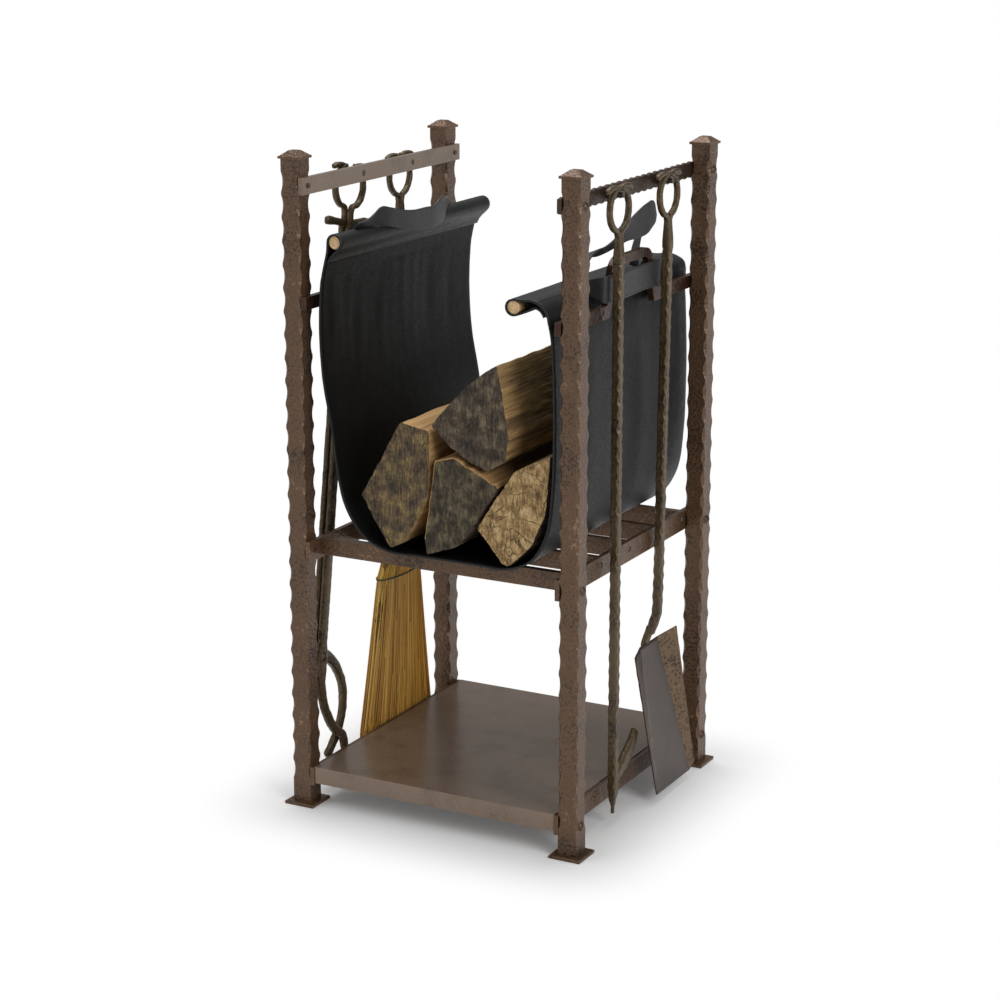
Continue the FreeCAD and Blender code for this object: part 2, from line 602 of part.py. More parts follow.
# ---- shovel ------------------------------------------------------------------
def build_shovel():
    y = PEG_OFFSET_Y
    slope = V(BLADE_BOTTOM_X - BLADE_TOP_X, 0, BLADE_BOTTOM_Z - BLADE_TOP_Z).normalize()
    outward = V(-slope.z, 0, slope.x)
    top, bottom = V(BLADE_TOP_X, y, BLADE_TOP_Z), V(BLADE_BOTTOM_X, y, BLADE_BOTTOM_Z)
    thick = outward * BLADE_SHEET
    across = V(0, 1, 0)
    floor = plate([top - across * BLADE_TOP_HALF, top + across * BLADE_TOP_HALF,
                   bottom + across * BLADE_BOTTOM_HALF, bottom - across * BLADE_BOTTOM_HALF], thick)
    walls = []
    for hand in (-1, 1):
        fold = top + across * hand * BLADE_TOP_HALF
        lip = bottom + across * hand * BLADE_BOTTOM_HALF
        flare = across * hand * BLADE_WALL_SPREAD + outward * BLADE_WALL_LIFT
        inward = (outward * BLADE_WALL_SPREAD - across * hand * BLADE_WALL_LIFT).normalize()
        walls.append(plate([fold, fold + flare, lip + flare * BLADE_LIP_SHARE, lip], inward * BLADE_SHEET))
    blade = fuse([floor] + walls)

    half = SHANK_SIDE / 2
    shank_x = TOOL_X - SHOVEL_SHANK_INSET
    straight = square_bar(V(TOOL_X, y, COLLAR_Z - COLLAR_HEIGHT), V(shank_x, y, SHOVEL_BEND_Z),
                          SHANK_SIDE, SHANK_SIDE)
    seat = top + slope * half
    heel = seat - outward * SHANK_SIDE
    tongue_end = top + slope * BLADE_TONGUE
    bend = prism_y([(shank_x - half, SHOVEL_BEND_Z), (shank_x + half, SHOVEL_BEND_Z), (seat.x, seat.z),
                    (heel.x, heel.z)], y - half, y + half)
    tongue = prism_y([(seat.x, seat.z), (tongue_end.x, tongue_end.z),
                      (tongue_end.x - outward.x * BLADE_TONGUE_TIP,
                       tongue_end.z - outward.z * BLADE_TONGUE_TIP), (heel.x, heel.z)],
                     y - half, y + half)
    rivets = []
    for distance in BLADE_RIVET_PLACES:
        seat_point = top + slope * distance - outward * 3
        body = Part.makeCylinder(BLADE_RIVET_RADIUS, 3 + BLADE_SHEET, seat_point, outward)
        head = Part.makeSphere(BLADE_RIVET_RADIUS * 1.7, top + slope * distance + thick - outward * 3.4)
        clear = Part.makeBox(40, 40, 40, V(-20, -20, 0))
        clear.Placement = FreeCAD.Placement(top + slope * distance + thick,
                                            FreeCAD.Rotation(V(0, 0, 1), outward))
        rivets.append(fuse([body, head.common(clear)]))
    holes = [Part.makeCylinder(BLADE_RIVET_RADIUS, 12, top + slope * d - outward * 3, outward)
             for d in BLADE_RIVET_PLACES]
    add("shovel_loop", hanging_loop(1, y))
    add("shovel_shank", largest_piece(fuse([straight, bend, tongue]).cut([blade] + holes)))
    add("shovel_blade", blade.cut(holes))
    add("shovel_rivets", group(rivets))
    add("peg_shovel", peg(1, y))


# ---- tongs -------------------------------------------------------------------
def tongs_arm(hand, x0, x1, pivot_z):
    """One arm: half of the loop, a finger grip, the bar, and a bowed jaw on the other side."""
    y = -TONGS_PEG_OFFSET_Y
    pieces = loop_half(hand, y, x0, x1)
    grip_z = PEG_Z - GRIP_DROP
    pieces.append(bar_x((y + hand * SHANK_SIDE / 2, grip_z), (y + hand * (GRIP_REACH - GRIP_HEIGHT / 2), grip_z),
                        GRIP_HEIGHT, x0, x1))
    pieces.append(bar_x((y, COLLAR_Z), (y, pivot_z), TONGS_ARM_WIDTH, x0, x1))
    pieces.append(rod_x(x0, x1, y, pivot_z, TONGS_KNUCKLE_RADIUS))
    belly, crossing, tip = ((y + across, pivot_z - below)
                            for across, below in (TONGS_BELLIES[hand], TONGS_CROSSING, TONGS_TIPS[hand]))
    pieces.append(arc_bar_x((y, pivot_z), belly, crossing, TONGS_JAW_WIDTH, x0, x1))
    pieces.append(bar_x(crossing, tip, TONGS_JAW_WIDTH, x0, x1))
    return fuse(pieces)


def lean_tongs(shape):
    """Hang the tongs at their resting lean, turned about their peg."""
    turned = shape.copy()
    turned.rotate(V(-TOOL_X, -TONGS_PEG_OFFSET_Y, PEG_Z), V(1, 0, 0), -TONGS_LEAN_DEG)
    return turned


def build_tongs():
    y = -TONGS_PEG_OFFSET_Y
    pivot_z = TONGS_PIVOT_Z
    gap = TONGS_ARM_GAP / 2
    outer_face = -TOOL_X - gap - TONGS_ARM_THICKNESS
    inner_face = -TOOL_X + gap + TONGS_ARM_THICKNESS
    bore = rod_x(outer_face - 1, inner_face + 1, y, pivot_z, TONGS_RIVET_RADIUS + TONGS_RIVET_GAP)
    seat = rod_x(outer_face - 1, inner_face + 1, y, pivot_z, TONGS_RIVET_RADIUS)
    rivet = fuse([
        rod_x(outer_face, inner_face + gap, y, pivot_z, TONGS_RIVET_RADIUS),
        dome_x(outer_face, -1, y, pivot_z, TONGS_RIVET_HEAD_RADIUS, TONGS_RIVET_HEAD_HEIGHT),
        dome_x(inner_face + gap, 1, y, pivot_z, TONGS_RIVET_HEAD_RADIUS, TONGS_RIVET_HEAD_HEIGHT),
    ])
    hung = tongs_arm(-1, outer_face, -TOOL_X - gap, pivot_z).cut(seat)
    turning = tongs_arm(1, -TOOL_X + gap, inner_face, pivot_z).cut(bore)
    add("tongs_arm_outer", lean_tongs(hung))
    add("tongs_arm_inner", lean_tongs(turning))
    add("tongs_rivet", lean_tongs(rivet))
    add("peg_tongs", peg(-1, y, -inner_face - TONGS_PEG_GAP, -outer_face + TONGS_PEG_GAP))


# ---- broom -------------------------------------------------------------------
def oval(x, y, z, half_x, half_y):
    """A closed oval at one height, longest along Y."""
    ring = Part.Ellipse(V(x, y, z), max(half_x, half_y), min(half_x, half_y)).toShape()
    if half_y > half_x:
        ring.rotate(V(x, y, z), V(0, 0, 1), 90)
    return Part.Wire([ring])


def build_broom():
    x, y = -TOOL_X, PEG_OFFSET_Y
    ferrule_bottom = FERRULE_TOP_Z - FERRULE_HEIGHT
    shank = square_bar(V(x, y, COLLAR_Z - COLLAR_HEIGHT), V(x, y, FERRULE_TOP_Z), SHANK_SIDE, SHANK_SIDE)
    ferrule = Part.Face(oval(x, y, ferrule_bottom, FERRULE_HALF_X, FERRULE_HALF_Y))
    ferrule = ferrule.extrude(V(0, 0, FERRULE_HEIGHT))
    band_y = y + BRISTLE_BAND_SHIFT_Y
    sections = [
        oval(x, y, ferrule_bottom, FERRULE_HALF_X, FERRULE_HALF_Y),
        oval(x, band_y, BRISTLE_BAND_Z, BRISTLE_BAND_HALF_X, BRISTLE_BAND_HALF_Y),
        oval(x - BRISTLE_BOTTOM_SHIFT_X, BRISTLE_BOTTOM_Y, BRISTLE_BOTTOM_Z,
             BRISTLE_BOTTOM_HALF_X, BRISTLE_BOTTOM_HALF_Y),
    ]
    bristles = Part.makeLoft(sections[:2], True, True).fuse(Part.makeLoft(sections[1:], True, True))
    bristles = bristles.removeSplitter()
    start = V(x, band_y - BRISTLE_BAND_HALF_Y, BRISTLE_BAND_Z)
    thread = Part.Wire([Part.makeCircle(STITCH_RADIUS, start, V(1, 0, 0))])
    path = oval(x, band_y, BRISTLE_BAND_Z, BRISTLE_BAND_HALF_X, BRISTLE_BAND_HALF_Y)
    stitch = path.makePipeShell([thread], True, True).cut(bristles)
    add("broom_loop", hanging_loop(-1, y))
    add("broom_shank", shank)
    add("broom_ferrule", ferrule)
    add("broom_bristles", bristles)
    add("broom_stitching", stitch)
    add("peg_broom", peg(-1, y))


# ---- leather sling -----------------------------------------------------------
def fitted(point, floor):
    """A point drawn for the nominal sling, fitted to this rack above the given floor."""
    x, height = point
    return (x * SLING_WALL_X / DRAWN_HALF_WIDTH,
            floor + height * (CARRIER_TOP - SHELF_TOP) / DRAWN_HEIGHT)


def wall_curve(points, start, finish):
    """A smooth curve through XZ points at the sling's front, with the given end directions."""
    curve = Part.BSplineCurve()
    ends = [V(x, 0, z).normalize() for x, z in (start, finish)]
    curve.interpolate(Points=[V(x, -SLING_HALF_LENGTH, z) for x, z in points],
                      InitialTangent=ends[0], FinalTangent=ends[1], Scale=False)
    return curve


def inner_points(curve, points):
    """The same points moved through the leather, to the inside of the sling."""
    moved = []
    for x, z in points:
        tangent = curve.tangent(curve.parameter(V(x, -SLING_HALF_LENGTH, z)))[0]
        moved.append((x - tangent.z * LEATHER, z + tangent.x * LEATHER))
    return moved


def front_line(a, b):
    """A straight edge between two XZ points at the sling's front."""
    return Part.LineSegment(V(a[0], -SLING_HALF_LENGTH, a[1]), V(b[0], -SLING_HALF_LENGTH, b[1])).toShape()


def sling_sheet():
    """The leather sheet in its U, with a hem rolled round the dowel at each end."""
    left = [(HEM_LEFT[0] - HEM_RADIUS, HEM_LEFT[1])]
    left += [fitted(point, SLING_BOTTOM) for point in SLING_LEFT_WALL]
    right = [fitted(point, SLING_BOTTOM) for point in SLING_RIGHT_WALL]
    level = (1, 0)
    from_hem = (left[1][0] - left[0][0], left[1][1] - left[0][1])
    hem_top, hem_inside = HEM_RIGHT[1] + HEM_RADIUS, HEM_RIGHT[1] + DOWEL_RADIUS
    to_hem = (HEM_RIGHT[0] - right[-1][0], hem_top - right[-1][1])
    left_outer, right_outer = wall_curve(left, from_hem, level), wall_curve(right, level, to_hem)
    left_in, right_in = inner_points(left_outer, left), inner_points(right_outer, right)
    outline = Part.Wire([
        left_outer.toShape(), front_line(left[-1], right[0]), right_outer.toShape(),
        front_line(right[-1], (HEM_RIGHT[0], hem_top)),
        front_line((HEM_RIGHT[0], hem_top), (HEM_RIGHT[0], hem_inside)),
        front_line((HEM_RIGHT[0], hem_inside), right_in[-1]),
        wall_curve(right_in, level, to_hem).toShape(), front_line(right_in[0], left_in[-1]),
        wall_curve(left_in, from_hem, level).toShape(), front_line(left_in[0], left[0]),
    ])
    length = 2 * SLING_HALF_LENGTH
    rolls, bores = [], []
    for x, z in (HEM_LEFT, HEM_RIGHT):
        front = V(x, -SLING_HALF_LENGTH, z)
        rolls.append(Part.makeCylinder(HEM_RADIUS, length, front, V(0, 1, 0)))
        bores.append(Part.makeCylinder(DOWEL_RADIUS, length, front, V(0, 1, 0)))
    return fuse([Part.Face(outline).extrude(V(0, length, 0))] + rolls).cut(bores)


def largest_piece(shape):
    """The biggest solid left after a cut, without the offcuts."""
    return max(shape.Solids, key=lambda solid: solid.Volume)


def outer_x(sheet, side, z):
    """X of the sheet's outer face on one side, at one height."""
    boxes = [wire.BoundBox for wire in sheet.slice(V(0, 0, 1), z)]
    return max(box.XMax for box in boxes) if side > 0 else min(box.XMin for box in boxes)


def belt_loop(side, sheet):
    """A leather strip outside the carrier's hump, sewn to the sheet beyond both of its legs."""
    half = HUMP_FOOT_WIDTH / 2 + BELT_LOOP_MARGIN
    x0, x1 = side * BELT_LOOP_X, side * (BELT_LOOP_X + BELT_LOOP_THICKNESS)
    pieces = [block(x0, x1, -half, half, BELT_LOOP_TOP_Z - BELT_LOOP_WIDTH, BELT_LOOP_TOP_Z)]
    low = CARRIER_TOP + BELT_TAB_LIFT
    levels = [low + BELT_TAB_WIDTH * index / BELT_TAB_STEPS for index in range(BELT_TAB_STEPS + 1)]
    sewn = [(outer_x(sheet, side, z) + side * SEAM_GAP, z) for z in levels]
    section = [(x1, low)] + sewn + [(x1, low + BELT_TAB_WIDTH)]
    for y in (-half - BELT_LOOP_THICKNESS, half):
        pieces.append(prism_y(section, y, y + BELT_LOOP_THICKNESS))
    return fuse(pieces)


def left_strap(sheet):
    """A carrying strap that stands on edge along the left hem, bulging inwards."""
    x, z = HEM_LEFT[0] + HEM_RADIUS, HEM_LEFT[1] - STRAP_LEFT_DROP
    y0, y1 = STRAP_LEFT_SPAN
    ends = [V(x, y0, z), V(x + STRAP_LEFT_BULGE, (y0 + y1) / 2, z), V(x, y1, z)]
    circle = Part.Arc(*ends).toShape().Curve
    sides = []
    for radius in (circle.Radius, circle.Radius + STRAP_THICKNESS):
        sides.append([circle.Center + (point - circle.Center).normalize() * radius for point in ends])
    inner, outer = sides
    outline = Part.Wire([
        Part.Arc(*inner).toShape(), Part.LineSegment(inner[2], outer[2]).toShape(),
        Part.Arc(*outer).toShape(), Part.LineSegment(outer[0], inner[0]).toShape(),
    ])
    return largest_piece(Part.Face(outline).extrude(V(0, 0, STRAP_LEFT_WIDTH)).cut(sheet))


def right_strap(sheet):
    """A slack carrying strap on edge, whose two ends stand on the right ridge."""
    x0 = SLING_WALL_X - STRAP_RIGHT_INSET - STRAP_THICKNESS / 2
    foot_z = max(wire.BoundBox.ZMax for wire in sheet.slice(V(1, 0, 0), x0))
    front_out, front_in, back_in, back_out = [(y, foot_z) for y in STRAP_RIGHT_FEET]
    lower = [(y, HEM_RIGHT[1] + height) for y, height in STRAP_RIGHT_LOWER]
    upper = [(y, HEM_RIGHT[1] + height) for y, height in STRAP_RIGHT_UPPER]
    outline = [front_out, front_in] + lower + [back_in, back_out] + upper
    return prism_x(outline, x0, x0 + STRAP_THICKNESS)


def build_sling():
    sheet = sling_sheet()
    add("belt_loop_left", belt_loop(-1, sheet))
    add("belt_loop_right", belt_loop(1, sheet))
    for name, (x, z) in (("left", HEM_LEFT), ("right", HEM_RIGHT)):
        add("dowel_" + name, Part.makeCylinder(DOWEL_RADIUS, 2 * DOWEL_HALF_LENGTH,
                                               V(x, -DOWEL_HALF_LENGTH, z), V(0, 1, 0)))
    add("strap_left", left_strap(sheet))
    add("strap_right", right_strap(sheet))
    add("sling_sheet", sheet)


def build_logs():
    """Split logs lying in the sling, each a prism with its own section and length."""
    floor = SLING_BOTTOM + LEATHER + LOG_REST_GAP
    for name, (section, (front, back)) in LOG_SECTIONS.items():
        corners = [fitted(point, floor) for point in section]
        add(name, prism_y(corners, front - SLING_HALF_LENGTH, SLING_HALF_LENGTH - back))


def main():
    build_posts()
    build_rails()
    build_slats()
    build_tray()
    build_fasteners()
    build_poker()
    build_shovel()
    build_tongs()
    build_broom()
    build_sling()
    build_logs()
    os.makedirs("parts", exist_ok=True)
    for name, shape in PARTS.items():
        if not shape.isValid() or not shape.Solids:
            raise ValueError("bad shape: " + name)
        shape.exportStep("parts/%s.step" % name)
        box = shape.BoundBox
        print("%-22s %d solid(s)  %8.1f cm3  x %.1f..%.1f  y %.1f..%.1f  z %.1f..%.1f" % (
            name, len(shape.Solids), shape.Volume / 1000, box.XMin, box.XMax, box.YMin, box.YMax,
            box.ZMin, box.ZMax))


main()
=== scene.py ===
import math

import bmesh
import bpy
from mathutils import Matrix, Vector, noise


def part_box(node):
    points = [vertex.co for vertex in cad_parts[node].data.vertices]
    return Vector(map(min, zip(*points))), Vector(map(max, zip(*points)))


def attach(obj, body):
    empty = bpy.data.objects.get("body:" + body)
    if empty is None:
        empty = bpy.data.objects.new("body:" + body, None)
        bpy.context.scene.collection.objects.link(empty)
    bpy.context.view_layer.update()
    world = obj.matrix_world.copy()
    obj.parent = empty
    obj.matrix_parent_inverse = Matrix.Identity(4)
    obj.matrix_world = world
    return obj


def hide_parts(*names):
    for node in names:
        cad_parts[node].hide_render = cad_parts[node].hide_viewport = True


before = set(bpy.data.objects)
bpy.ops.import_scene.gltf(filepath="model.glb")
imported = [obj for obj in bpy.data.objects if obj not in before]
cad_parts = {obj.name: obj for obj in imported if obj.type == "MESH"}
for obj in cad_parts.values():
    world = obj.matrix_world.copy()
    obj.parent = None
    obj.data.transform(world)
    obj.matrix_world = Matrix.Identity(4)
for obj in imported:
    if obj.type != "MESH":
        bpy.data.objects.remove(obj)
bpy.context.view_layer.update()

MM = 0.001


def middle(name):
    """The centre of a CAD node's box, in millimetres."""
    low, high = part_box(name)
    return (low + high) / 2 / MM


# The places that the tools hang from, read off the frame.
SHANK_X = middle("poker_shank").x
PEG_Y = middle("peg_shovel").y
PEG_Z = middle("peg_poker").z
LOOP_RADIUS = 26.0
LOOP_CENTRE_DROP = 18.2
COLLAR_RISE = 9.0
SHANK_HALF = 5.6
LOOP_CENTRE_Z = PEG_Z - LOOP_CENTRE_DROP
COLLAR_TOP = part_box("poker_shank")[1].z / MM + COLLAR_RISE

# How far apart the stations of a forged bar and of a loop are, and the leather's thickness.
BAR_PITCH = 2.4
LOOP_PITCH = 2.2
HOOK_PITCH = 2.0
LEATHER = 2.5
X_AXIS = Vector((1, 0, 0))


# ---- helpers: colours, nodes, curves and meshes ---------------------------------
def hex_rgb(code):
    """A linear RGBA colour from an sRGB hex code."""
    channels = [int(code[i:i + 2], 16) / 255 for i in (1, 3, 5)]
    return tuple(c / 12.92 if c <= 0.04045 else ((c + 0.055) / 1.055) ** 2.4 for c in channels) + (1.0,)


def add_node(tree, kind, inputs=None, **settings):
    """Add a node, set it up, and give its inputs values or links."""
    made = tree.nodes.new(kind)
    for name, value in settings.items():
        setattr(made, name, value)
    for key, value in (inputs or {}).items():
        if isinstance(value, bpy.types.NodeSocket):
            tree.links.new(value, made.inputs[key])
        else:
            made.inputs[key].default_value = value
    return made


def spline(keys, steps):
    """Points on a smooth curve through keys, which are tuples of any one length."""
    keys = [Vector(key) for key in keys]
    keys = [2 * keys[0] - keys[1]] + keys + [2 * keys[-1] - keys[-2]]
    points = []
    for p0, p1, p2, p3 in zip(keys, keys[1:], keys[2:], keys[3:]):
        knots = [0.0]
        for a, b in ((p0, p1), (p1, p2), (p2, p3)):
            knots.append(knots[-1] + max((b - a).length, 1e-3) ** 0.5)
        t0, t1, t2, t3 = knots
        for step in range(steps):
            t = t1 + (t2 - t1) * step / steps
            a1 = p0 * ((t1 - t) / (t1 - t0)) + p1 * ((t - t0) / (t1 - t0))
            a2 = p1 * ((t2 - t) / (t2 - t1)) + p2 * ((t - t1) / (t2 - t1))
            a3 = p2 * ((t3 - t) / (t3 - t2)) + p3 * ((t - t2) / (t3 - t2))
            b1 = a1 * ((t2 - t) / (t2 - t0)) + a2 * ((t - t0) / (t2 - t0))
            b2 = a2 * ((t3 - t) / (t3 - t1)) + a3 * ((t - t1) / (t3 - t1))
            points.append(b1 * ((t2 - t) / (t2 - t1)) + b2 * ((t - t1) / (t2 - t1)))
    return points + [keys[-2]]


def evenly(points, pitch):
    """A polyline's points again, spaced evenly about pitch apart by their first three numbers."""
    points = [Vector(p) for p in points]
    lengths = [0.0]
    for a, b in zip(points, points[1:]):
        lengths.append(lengths[-1] + (Vector(b[:3]) - Vector(a[:3])).length)
    count = max(2, round(lengths[-1] / pitch))
    stations, span = [], 0
    for i in range(count + 1):
        goal = lengths[-1] * i / count
        while span < len(points) - 2 and lengths[span + 1] < goal:
            span += 1
        share = (goal - lengths[span]) / max(lengths[span + 1] - lengths[span], 1e-6)
        stations.append(points[span].lerp(points[span + 1], min(max(share, 0), 1)))
    return stations


def loft(rings, closed=False):
    """Points and faces of a skin over rings of equal length, closed at both ends with a fan."""
    count = len(rings[0])
    points = [p for ring in rings for p in ring]
    faces = []
    spans = len(rings) if closed else len(rings) - 1
    for i in range(spans):
        a, b = i * count, ((i + 1) % len(rings)) * count
        for j in range(count):
            k = (j + 1) % count
            faces.append((a + j, a + k, b + k, b + j))
    if not closed:
        for start in (0, (len(rings) - 1) * count):
            centre = len(points)
            points.append(sum((Vector(p) for p in points[start:start + count]), Vector((0, 0, 0))) / count)
            faces += [(start + (j + 1) % count, start + j, centre) for j in range(count)]
    return points, faces


def shown(name, content):
    """An object for a mesh, lamp or camera, linked into the scene."""
    made = bpy.data.objects.new(name, content)
    bpy.context.collection.objects.link(made)
    return made


def piece(name, shells, material, crease=38.0):
    """One mesh from shells of points in millimetres and faces, shaded smooth between its creases."""
    mesh = bpy.data.meshes.new(name)
    build = bmesh.new()
    for points, faces in shells:
        corners = [build.verts.new(Vector(p) * MM) for p in points]
        for face in faces:
            build.faces.new([corners[i] for i in face])
    bmesh.ops.recalc_face_normals(build, faces=build.faces)
    for face in build.faces:
        face.smooth = True
    for edge in build.edges:
        edge.smooth = edge.calc_face_angle(0) < math.radians(crease)
    build.to_mesh(mesh)
    build.free()
    mesh.materials.append(material)
    return shown(name, mesh)


def finish_piece(made, body, slot, *replaced):
    """Hang a finished piece on its body, and hide the parts that it stands for; its slot is not used."""
    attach(made, body)
    if replaced:
        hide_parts(*replaced)
    return made


def section(centre, across, deep, power, count=16):
    """A closed ring around centre: an ellipse at power 1, nearly a square at 0.3."""
    ring = []
    for step in range(count):
        angle = math.tau * (step + 0.5) / count
        c, s = math.cos(angle), math.sin(angle)
        ring.append(centre + across * math.copysign(abs(c) ** power, c)
                    + deep * math.copysign(abs(s) ** power, s))
    return ring


def swept(stations, face, power=0.5, count=16, hammer=0.0, tips=(0.5, 0.5), closed=False, seed=0.0):
    """A shell along stations of (x, y, z, half across, half deep); face is the direction of across."""
    rings = []
    stations = [Vector(s) for s in stations]
    places = [Vector(s[:3]) for s in stations]
    last = len(places) - 1
    for i, (place, station) in enumerate(zip(places, stations)):
        before = places[i - 1] if i or closed else place
        after = places[(i + 1) % len(places)] if i < last or closed else place
        along = (after - before).normalized()
        across = (face - along * face.dot(along)).normalized()
        deep = along.cross(across)
        ring = section(place, across * station[3], deep * station[4], power, count)
        if not closed and i in (0, last) and tips[bool(i)]:
            outward = -along if i == 0 else along
            reach = min(station[3], station[4]) * tips[bool(i)]
            domes = [[place + (p - place) * math.cos(a) + outward * reach * math.sin(a) for p in ring]
                     for a in (math.radians(d) for d in (25, 50, 72))]
            rings += domes[::-1] + [ring] if i == 0 else [ring] + domes
        else:
            rings.append(ring)
    if hammer:
        for ring in rings:
            centre = sum(ring, Vector((0, 0, 0))) / len(ring)
            for j, p in enumerate(ring):
                broad = noise.noise(p / 7.0 + Vector((seed, 0, 0)))
                fine = noise.noise(p / 3.0 + Vector((0, seed, 0)))
                ring[j] = p + (p - centre).normalized() * (broad + 0.5 * fine) * hammer
    return loft(rings, closed)


def forged_bar(points, face, half, seed, pitch=17.0, cut=(0.9, 2.6), taper=None):
    """A square bar whose four corners are hammered back in a row of shallow scallops."""
    path = evenly(points, BAR_PITCH)
    rings = []
    travelled = 0.0
    for i, place in enumerate(path):
        before, after = path[max(i - 1, 0)], path[min(i + 1, len(path) - 1)]
        travelled += (place - path[max(i - 1, 0)]).length
        along = (after - before).normalized()
        across = (face - along * face.dot(along)).normalized()
        deep = along.cross(across)
        size = half if taper is None else taper(i / (len(path) - 1)) * half
        ring = []
        for corner, (sx, sy) in enumerate(((1, 1), (-1, 1), (-1, -1), (1, -1))):
            phase = travelled / pitch + 0.31 * corner + seed
            scallop = abs(math.sin(math.pi * phase)) ** 1.6
            uneven = 0.75 + 0.5 * noise.noise(Vector((phase * 0.9, corner, seed)))
            back = (cut[0] + cut[1] * scallop * uneven) * size / half
            wide = size * (1 + 0.035 * noise.noise(Vector((travelled / 9, seed, corner))))
            one = (sx * wide, sy * (wide - back))
            two = (sx * (wide - back), sy * wide)
            for x, y in ((one, two) if sx * sy > 0 else (two, one)):
                ring.append(place + across * x + deep * y)
        rings.append(ring)
    return loft(rings)


def placed(shells, matrix):
    """Shells with their points moved by a matrix."""
    return [([matrix @ Vector(p) for p in points], faces) for points, faces in shells]


# ---- materials ---------------------------------------------------------------
def new_material(name):
    material = bpy.data.materials.new(name)
    material.use_nodes = True
    tree = material.node_tree
    tree.nodes.clear()
    output = add_node(tree, "ShaderNodeOutputMaterial")
    shader = add_node(tree, "ShaderNodeBsdfPrincipled")
    tree.links.new(shader.outputs["BSDF"], output.inputs["Surface"])
    place = add_node(tree, "ShaderNodeTexCoord").outputs["Object"]
    return material, tree, shader, place


def raise_surface(tree, shader, height, strength, depth, **settings):
    """Bump a shader's surface by a height, over a depth in millimetres."""
    bump = add_node(tree, "ShaderNodeBump", {"Height": height, "Strength": strength, "Distance": depth * MM},
                    **settings)
    tree.links.new(bump.outputs["Normal"], shader.inputs["Normal"])


def ramp(tree, factor, stops):
    """A colour ramp with stops of (position, hex code or grey value)."""
    made = add_node(tree, "ShaderNodeValToRGB", {"Fac": factor})
    while len(made.color_ramp.elements) < len(stops):
        made.color_ramp.elements.new(0.5)
    for element, (position, colour) in zip(made.color_ramp.elements, stops):
        element.position = position
        element.color = hex_rgb(colour) if isinstance(colour, str) else (colour, colour, colour, 1)
    return made.outputs["Color"]


# How wide the paler edge of forged steel is: partly rubbed lacquer, partly a painted edge highlight.
RUBBED_AND_HIGHLIGHT_EDGE = 1.1


def forged_steel(name, base, dark, worn, roughness, dimple_mm, dimple, metallic=0.35):
    """Mild steel, hammered and given a bronze lacquer: soft highlights, painted shade in the hammer dents,
    and paler metal at the edges, partly rubbed lacquer and partly a painted edge highlight.
    """
    material, tree, shader, place = new_material(name)
    cloud = add_node(tree, "ShaderNodeTexNoise", {"Vector": place, "Scale": 1 / (45 * MM), "Detail": 5.0})
    speck = add_node(tree, "ShaderNodeTexNoise", {"Vector": place, "Scale": 1 / (2.2 * MM), "Detail": 3.0})
    dents = add_node(tree, "ShaderNodeTexVoronoi",
                     {"Vector": place, "Scale": 1 / (dimple_mm * MM), "Smoothness": 0.6}, feature="SMOOTH_F1")
    mottle = add_node(tree, "ShaderNodeMix", {0: 0.35, 2: cloud.outputs["Fac"], 3: speck.outputs["Fac"]})
    # The hollows of the hammer dents are painted darker and the rims between them paler: painted shade that
    # makes the dents show.
    tone = add_node(tree, "ShaderNodeMix",
                    {0: 0.3 * min(dimple, 1.0), 2: mottle.outputs[0], 3: dents.outputs["Distance"]})
    colour = ramp(tree, tone.outputs[0], [(0.34, dark), (0.48, base), (0.6, base), (0.76, worn)])
    # The rounded normal differs from the true one only near an edge, which is painted paler, partly as rubbed
    # lacquer and partly as a painted edge highlight.
    rounded = add_node(tree, "ShaderNodeBevel", {"Radius": RUBBED_AND_HIGHLIGHT_EDGE * MM}, samples=4)
    true = add_node(tree, "ShaderNodeNewGeometry").outputs["Normal"]
    facing = add_node(tree, "ShaderNodeVectorMath", {0: rounded.outputs["Normal"], 1: true},
                      operation="DOT_PRODUCT")
    edge = add_node(tree, "ShaderNodeMapRange",
                    {0: facing.outputs["Value"], 1: 0.985, 2: 0.82, 3: 0.0, 4: 0.75})
    worn_and_highlight_patch = add_node(tree, "ShaderNodeMath", {0: edge.outputs[0], 1: cloud.outputs["Fac"]},
                     operation="MULTIPLY")
    mixed = add_node(tree, "ShaderNodeMix", {0: worn_and_highlight_patch.outputs[0], 6: colour, 7: hex_rgb(worn)},
                     data_type="RGBA")
    tree.links.new(mixed.outputs[2], shader.inputs["Base Color"])
    rough = add_node(tree, "ShaderNodeMapRange", {0: speck.outputs["Fac"], 1: 0.3, 2: 0.7,
                                                  3: roughness[0], 4: roughness[1]})
    tree.links.new(rough.outputs[0], shader.inputs["Roughness"])
    shader.inputs["Metallic"].default_value = metallic
    height = add_node(tree, "ShaderNodeMix", {0: 0.25, 2: dents.outputs["Distance"], 3: speck.outputs["Fac"]})
    raise_surface(tree, shader, height.outputs[0], dimple, 0.3 + 0.14 * dimple_mm)
    return material


